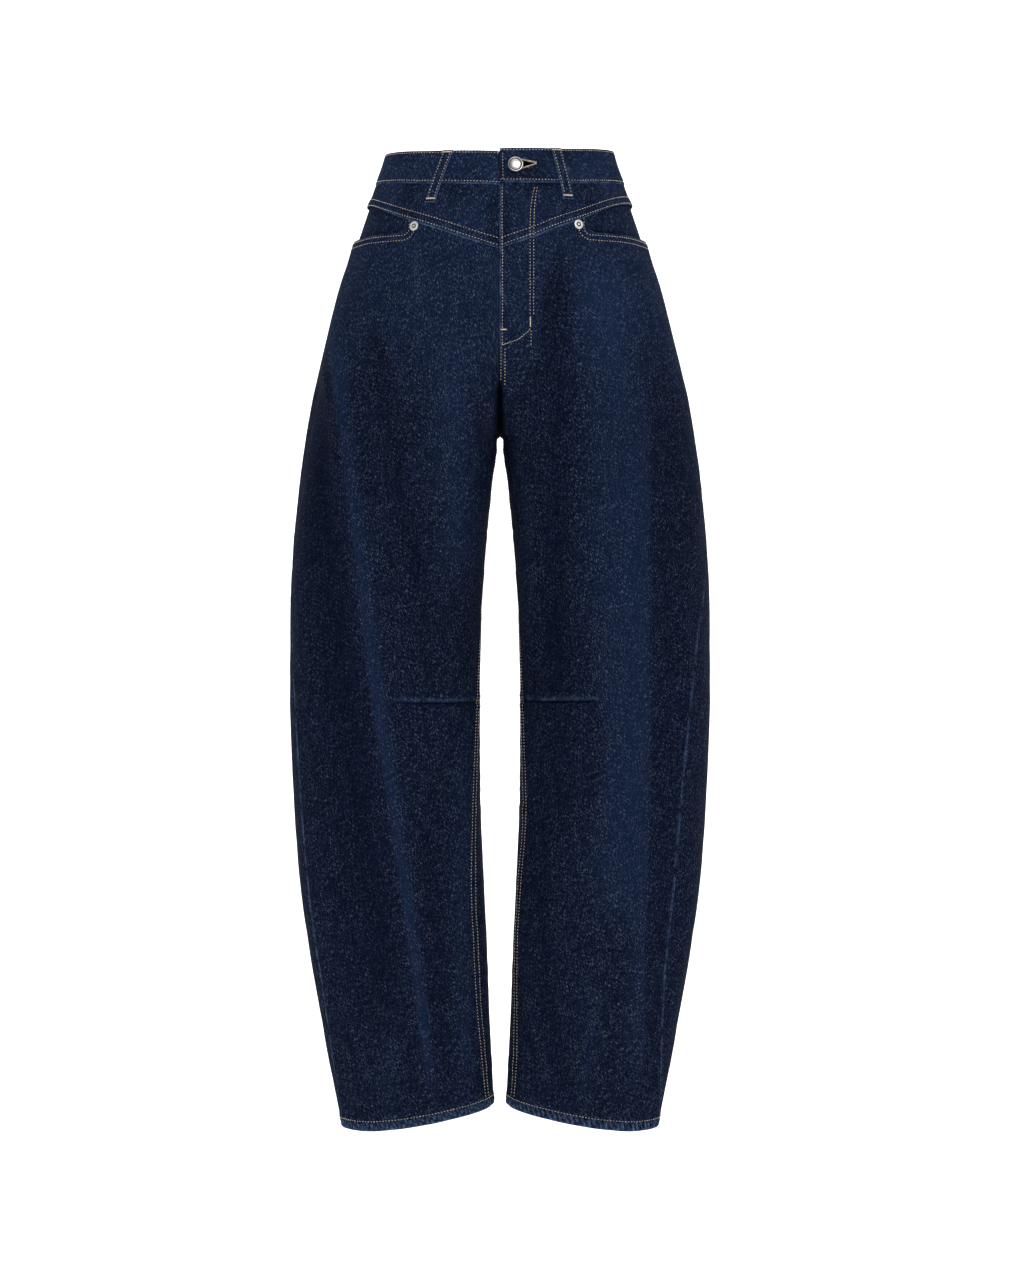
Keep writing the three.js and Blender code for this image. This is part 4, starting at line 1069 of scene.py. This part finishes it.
def sew_cloth(batch, leg, turn, z, lift):
    """Sew a row along turns and heights on a leg's cloth."""
    points, normals = on_cloth(leg, turn, z, lift)
    sew(batch, points, normals)


def rounded_row(leg, inset):
    """A row of stitching inside the pocket mouth: down beside the rivet, round the corner and out to the side."""
    left, foot, radius = MOUTH_CORNER[leg] + 2.5 - inset, MOUTH_EDGE - 0.6 - inset, 5 + inset
    drop = np.linspace(float(front_yoke_foot[leg](left)) - 1, foot + radius, 60)
    bend = np.linspace(np.pi, 1.5 * np.pi, 60)
    x = np.concatenate([np.full(60, left), left + radius + radius * np.cos(bend)])
    z = np.concatenate([drop, foot + radius + radius * np.sin(bend)])
    corner = turn_at(x, z, -1)
    turn = np.linspace(corner[-1], outer_seam_turn[leg](-90) - 0.004, LINE)
    level = mouth_edge(leg, turn) - 0.6 - inset
    return np.concatenate([corner, turn]), np.concatenate([z, level + (foot - level[0])])


for leg in SIGN:
    seam = outer_seam_turn[leg](-60)
    # front yoke: two rows above its lapped foot
    for above in (3.2, 10.5):
        x = np.linspace(1.5, 146, LINE)
        z = front_yoke_foot[leg](x) + above - LAP
        shown = x < section["outer"](z) - 1
        turn, z = turn_at(x[shown], z[shown], -1), z[shown]
        over_fly = front_lift(leg, np.minimum(turn, mouth_turn[leg]), z) * (turn < 0.3)
        sew_cloth("front_topstitching", leg, turn, z, 1.3 + over_fly - 0.35 * (above > 9))
    # pocket mouth: two rows inside its edge
    for inset in (2.6, 7.8):
        turn, z = rounded_row(leg, inset)
        sew_cloth("front_topstitching", leg, turn, z, front_lift(leg, turn, z) + 0.05)
    # inner seam: two rows on the front, beside the lapped edge
    inner_x = body_form(inner_forward[leg](HEM_LEVEL), HEM_LEVEL)[..., 0]
    for inward in INNER_ROWS:
        z = np.linspace(float(hem_edge(inner_x)) + HEM_DEPTH - 1.5, FORK - 6, 4 * LINE)
        turn = inner_forward[leg](z) + inward / ROUND
        sew_cloth("front_topstitching", leg, turn, z, front_lift(leg, turn, z) + 0.05)
    # hem: one row all round
    turn = np.linspace(0.005, 0.995, 4 * LINE)
    level = hem_edge(body_form(turn, -1000.0)[..., 0]) + HEM_DEPTH - 1.5
    over_lap = front_lift(leg, np.minimum(turn, 0.4), level)
    sew_cloth("hem_stitching", leg, turn, level, HEM_RISE + over_lap)
    # back yoke: two rows above its lapped foot
    for above in (3.2, 9.5):
        turn = np.linspace(seam + 0.004, 0.985, 2 * LINE)
        sew_cloth("back_topstitching", leg, turn, back_top(leg, turn) + above - LAP, 1.35 - 0.3 * (above > 9))
    # back pocket: two rows round its sides and point, and two across its mouth
    length = (BACK_POCKET["side"] + BACK_POCKET["point"]) / 2
    for inset in (2.0, 7.5):
        a, b = inset / POCKET_WIDE, inset / length
        u = np.concatenate([np.full(LINE, a), np.linspace(a, 1 - a, LINE), np.full(LINE, 1 - a)])
        side = np.linspace(0.01, 1 - b, LINE)
        down = np.concatenate([side, np.full(LINE, 1 - b), side[::-1]])
        sew_cloth("back_topstitching", leg, *pocket_place(u, down), POCKET_LIFT + 0.05)
    for inset in (2.5, 13):
        across = pocket_place(np.linspace(0.03, 0.97, LINE), inset / length)
        sew_cloth("back_topstitching", leg, *across, POCKET_LIFT + 0.1)
# seat seam: two rows on the left back
for x in (2.0, 8.2):
    z = np.linspace(-266, -92, LINE)
    sew_cloth("back_topstitching", "left", turn_at(x, z, 1), z, 0.05)

# the fly: its curved double row, the row across its foot, rows beside its folded edge, and two bar tacks
FLY_ROWS = table(
    "z inner outer",
    [(-37, 36.4, 38.9), (-45.5, 34.3, 37.4), (-65.8, 31.6, 35.4), (-90, 31.2, 34.9), (-171.5, 31.2, 34.9)],
)
FLY_FOOT = table("x z", [(31.4, -184), (31, -186), (25, -192), (18.4, -196.7), (9.6, -199.9), (1.8, -202.5)])
FLY_EDGE_ROWS = table("x top foot", [(2.7, -38, -202), (1.5, -203, -238), (5.5, -203, -243), (32.3, -186, -203)])


def sew_fly(x, z, **laid):
    """Sew a line on the left front from distances to the middle and heights."""
    turn = turn_at(x, z, -1)
    over_yoke = 1.2 * ease((z - front_yoke_foot["left"](x) + LAP) / 0.6)
    points, normals = on_cloth("left", turn, z, front_lift("left", turn, z) + 0.08 + over_yoke)
    sew("front_topstitching", points, normals, **laid)


z = np.linspace(-171.5, -37, LINE)
for side in ("inner", "outer"):
    sew_fly(curve_through(FLY_ROWS, "z", side)(z), z)
x = np.linspace(1.8, 31.4, LINE)
sew_fly(x, curve_through(FLY_FOOT, "x", "z")(x), length=2.2, pitch=2.7)
for row in FLY_EDGE_ROWS:
    z = np.linspace(row["foot"], row["top"], LINE)
    sew_fly(np.full(LINE, row["x"]), z)
sew_fly(np.full(TACK_LINE, 31.6), np.linspace(-183.8, -173, TACK_LINE), **BAR_TACK)
sew_fly(np.linspace(0.8, 7.4, TACK_LINE), np.full(TACK_LINE, -186.5), **BAR_TACK)

# the waistband's rows: one inside each long edge, one down the buttoned end, and the buttonhole's two edges
way = np.linspace(0.006, 1.99, 8 * LINE)
for edge, inset in (("top", -2.2), ("foot", 3.2)):
    points, normals = band_surface(way, band_level(edge, way) + inset)
    sew("waist_stitching", points + normals * 0.12, normals)
points, normals = band_surface(np.full(LINE, float(turn_at(3.2, -15, -1))), np.linspace(-3, -32, LINE))
sew("waist_stitching", points + normals * 0.35, normals)
h = BUTTONHOLE
for side in (-1, 1):
    along = np.linspace(0.02, 1.02, 60)
    x = h["start"] + (h["end"] - h["start"]) * along
    z = h["middle"] + h["rise"] * along + side * (h["half"] * (1 - along) + 0.7)
    points, normals = band_surface(turn_at(x - 1.2, z, -1), z)
    sew("waist_stitching", points + normals * 0.25, normals, **HOLE_EDGING)

# belt loops: a row inside each long edge and a bar tack across each end
for loop in LOOPS:
    for side in (-0.64, 0.64):
        points, normals = loop_surface(loop, np.linspace(0.06, 0.92, LINE), np.full(LINE, side))
        sew("waist_stitching", points, normals)
    for at in (0.035, 0.93):
        points, normals = loop_surface(loop, np.full(TACK_LINE, at), np.linspace(-0.92, 0.92, TACK_LINE))
        sew("waist_stitching", points, normals, **LOOP_TACK)


def spun_thread(tree):
    """Spun polyester and cotton thread: matt tan, each stitch a little different, with the ply's twist as fine
    grain."""
    tone = add_node(tree, "Attribute", attribute_name="tone").outputs["Fac"]
    tan = tinted(tree, linear("#b5a084"), linear("#eedcc2"), (tone, 0.0, 1.0))
    place = add_node(tree, "TexCoord").outputs["Object"]
    ply = add_node(tree, "TexNoise", {"Vector": place, "Scale": 2600.0}).outputs["Fac"]
    relief = add_node(tree, "Bump", {"Height": ply, "Strength": 0.4, "Distance": 0.0002}).outputs[0]
    look = {"Base Color": tan, "Normal": relief, "Roughness": 0.65, "Specular IOR Level": 0.3}
    return add_node(tree, "BsdfPrincipled", look)


thread = new_material("tan_thread", spun_thread)
for name, batches in sewn.items():
    rings = np.concatenate(batches)
    ring = np.arange(4 * THREAD_SIDES).reshape(4, THREAD_SIDES)
    beside = np.roll(ring, -1, axis=1)
    start = (np.arange(len(rings)) * ring.size)[:, None]
    sides = np.stack([ring[:-1], beside[:-1], beside[1:], ring[1:]], -1).reshape(-1, 4)
    caps = np.concatenate([ring[0][::-1] + start, ring[3] + start])
    mesh = smooth_mesh(name, rings, (sides + start[..., None]).reshape(-1, 4).tolist() + caps.tolist())
    tones = np.repeat(np.random.default_rng(61).uniform(0, 1, len(rings)), ring.size)
    mesh.attributes.new("tone", "FLOAT", "POINT").data.foreach_set("value", tones.astype(np.float32))
    mesh.materials.append(thread)
    piece = put_in_scene(name, mesh)
    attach(piece, "root")


# Waist button and rivets.
# Nickel-plated brass: a tack button with a raised rim and a plain dome, and two cap rivets with a dark centre.
# Each is a turned profile of radius and height, set square on the cloth.
BUTTON_PLACE = {"x": 16, "z": -16.5, "lift": BAND_OUT + OVERLAP_OUT + 0.3}
RIVET_PLACE = {"right": (88, -77.9), "left": (81.2, -76.5)}
BUTTON = table(
    "radius height",
    [(3.4, 0), (3.5, 1.4), (7.2, 1.4), (8.0, 2.0), (8.0, 2.9), (7.5, 3.5), (6.9, 3.6), (6.5, 3.3), (6.3, 2.8)]
    + [(6.0, 2.8), (5.8, 3.1), (5.0, 3.35), (3.2, 3.55), (1.6, 3.62), (0.3, 3.65)],
)
RIVET = table(
    "radius height",
    [(4.9, 0), (5.0, 0.6), (4.8, 1.1), (4.3, 1.35), (2.8, 1.4), (2.4, 1.2), (2.2, 0.7), (1.5, 0.7), (1.3, 1.2)]
    + [(0.3, 1.35)],
)


ROUND_STEPS = 48


def nickel_material(name, bright, dull, rough):
    """Tumbled nickel plate: bright, with fine scratches and a little tarnish."""

    def plated(tree):
        place = add_node(tree, "TexCoord").outputs["Object"]
        grain = add_node(tree, "TexNoise", {"Vector": place, "Scale": 900.0, "Detail": 3.0}).outputs["Fac"]
        plate = tinted(tree, linear(dull), linear(bright), (grain, 0.35, 0.6))
        relief = add_node(tree, "Bump", {"Height": grain, "Strength": 0.15, "Distance": 0.0002}).outputs[0]
        look = {"Base Color": plate, "Normal": relief, "Metallic": 1.0, "Roughness": rough}
        return add_node(tree, "BsdfPrincipled", look)

    return new_material(name, plated)


nickel = nickel_material("nickel_plate", "#cfcdc8", "#8e8c86", 0.36)
bright_nickel = nickel_material("bright_nickel_plate", "#fbfaf6", "#e3e1da", 0.55)
tarnish = nickel_material("tarnished_hollow", "#3a3834", "#191815", 0.5)


def turned_piece(name, leg, x, z, lift, profile, dark, plate):
    """A profile spun round the cloth's outward direction; the faces of the dark steps are tarnished."""
    turn = float(turn_at(x, z, -1))
    centre, up = (grid[0] for grid in on_cloth(leg, np.array([turn]), np.array([float(z)]), lift))
    beside = np.cross(up, [0, 0, 1])
    beside /= np.linalg.norm(beside)
    ahead = np.cross(up, beside)
    angle = np.linspace(0, 2 * np.pi, ROUND_STEPS, endpoint=False)[:, None]
    ring = np.cos(angle) * beside + np.sin(angle) * ahead
    verts = centre + ring * profile["radius"][:, None, None] + up * profile["height"][:, None, None]
    grid = np.arange(len(profile) * ROUND_STEPS).reshape(-1, ROUND_STEPS)
    following = np.roll(grid, -1, axis=1)
    faces = np.stack([grid[:-1], following[:-1], following[1:], grid[1:]], -1).reshape(-1, 4).tolist()
    mesh = smooth_mesh(name, verts, faces + [grid[0][::-1].tolist(), grid[-1].tolist()], sharp=40)
    is_dark = np.append(np.repeat(np.isin(np.arange(len(profile) - 1), dark), ROUND_STEPS), [False, False])
    mesh.polygons.foreach_set("material_index", is_dark.astype(np.int32))
    mesh.materials.append(plate)
    mesh.materials.append(tarnish)
    piece = put_in_scene(f"{name}_metal", mesh)
    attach(piece, "root")
    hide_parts(name)


turned_piece("waist_button", "left", *BUTTON_PLACE.values(), BUTTON, (7, 8, 9), nickel)
for leg, (x, z) in RIVET_PLACE.items():
    turned_piece(f"rivet_{leg}", leg, x, z, 0.3, RIVET, (5, 6, 7), bright_nickel)


# Floor, backdrop and lights.
# A white paper sweep, and large soft lamps in front of the trousers and over them. The sweep is in millimetres
# as the cloth is, and the lamps are in metres and degrees.
SWEEP = table("y z", [(-6000, -1140), (3000, -1140), (4200, -1000), (5200, -400), (5600, 600), (5700, 6000)])
SWEEP_ROWS = 60
LAMPS = table(
    "x y z tilt pan size power",
    [
        (0.9, -3.4, 1.6, 58, 15, 1.5, 50),
        (-2.6, -2.4, 0.4, 78, -47, 1.6, 10),
        (0.1, -1.2, 3.0, 22, 0, 2.0, 18),
        (0, 2.0, 3.8, 42, 0, 4.0, 240),
    ],
)


def paper(tree):
    """Matt white paper, lit a little by itself so that it stays white to the picture's edges."""
    look = {"Base Color": linear("#f7f7f7"), "Roughness": 0.9, "Emission Strength": 0.5}
    return add_node(tree, "BsdfPrincipled", {**look, "Emission Color": linear("#ffffff")})


along = np.linspace(0, len(SWEEP) - 1, SWEEP_ROWS)
sweep_y, sweep_z = (np.interp(along, np.arange(len(SWEEP)), SWEEP[axis])[:, None] for axis in ("y", "z"))
verts = np.stack(np.broadcast_arrays(np.linspace(-9000, 9000, 3), sweep_y, sweep_z), -1)
grid = np.arange(3 * SWEEP_ROWS).reshape(SWEEP_ROWS, 3)
faces = np.stack([grid[:-1, :-1], grid[:-1, 1:], grid[1:, 1:], grid[1:, :-1]], -1).reshape(-1, 4)
mesh = smooth_mesh("paper_sweep", verts, faces.tolist())
mesh.materials.append(new_material("white_paper", paper))
put_in_scene("paper_sweep", mesh)

for lamp in LAMPS:
    light = bpy.data.lights.new("soft_lamp", "AREA")
    light.size = lamp["size"]
    light.energy = lamp["power"]
    holder = put_in_scene("soft_lamp", light)
    holder.location = (lamp["x"], lamp["y"], lamp["z"])
    holder.rotation_euler = np.radians((lamp["tilt"], 0, lamp["pan"]))
world = bpy.data.worlds.new("studio_air")
world.use_nodes = True
world.node_tree.nodes["Background"].inputs["Color"].default_value = (1, 1, 1, 1)
world.node_tree.nodes["Background"].inputs["Strength"].default_value = 0.18
bpy.context.scene.world = world
bpy.context.scene.view_settings.view_transform = "Standard"
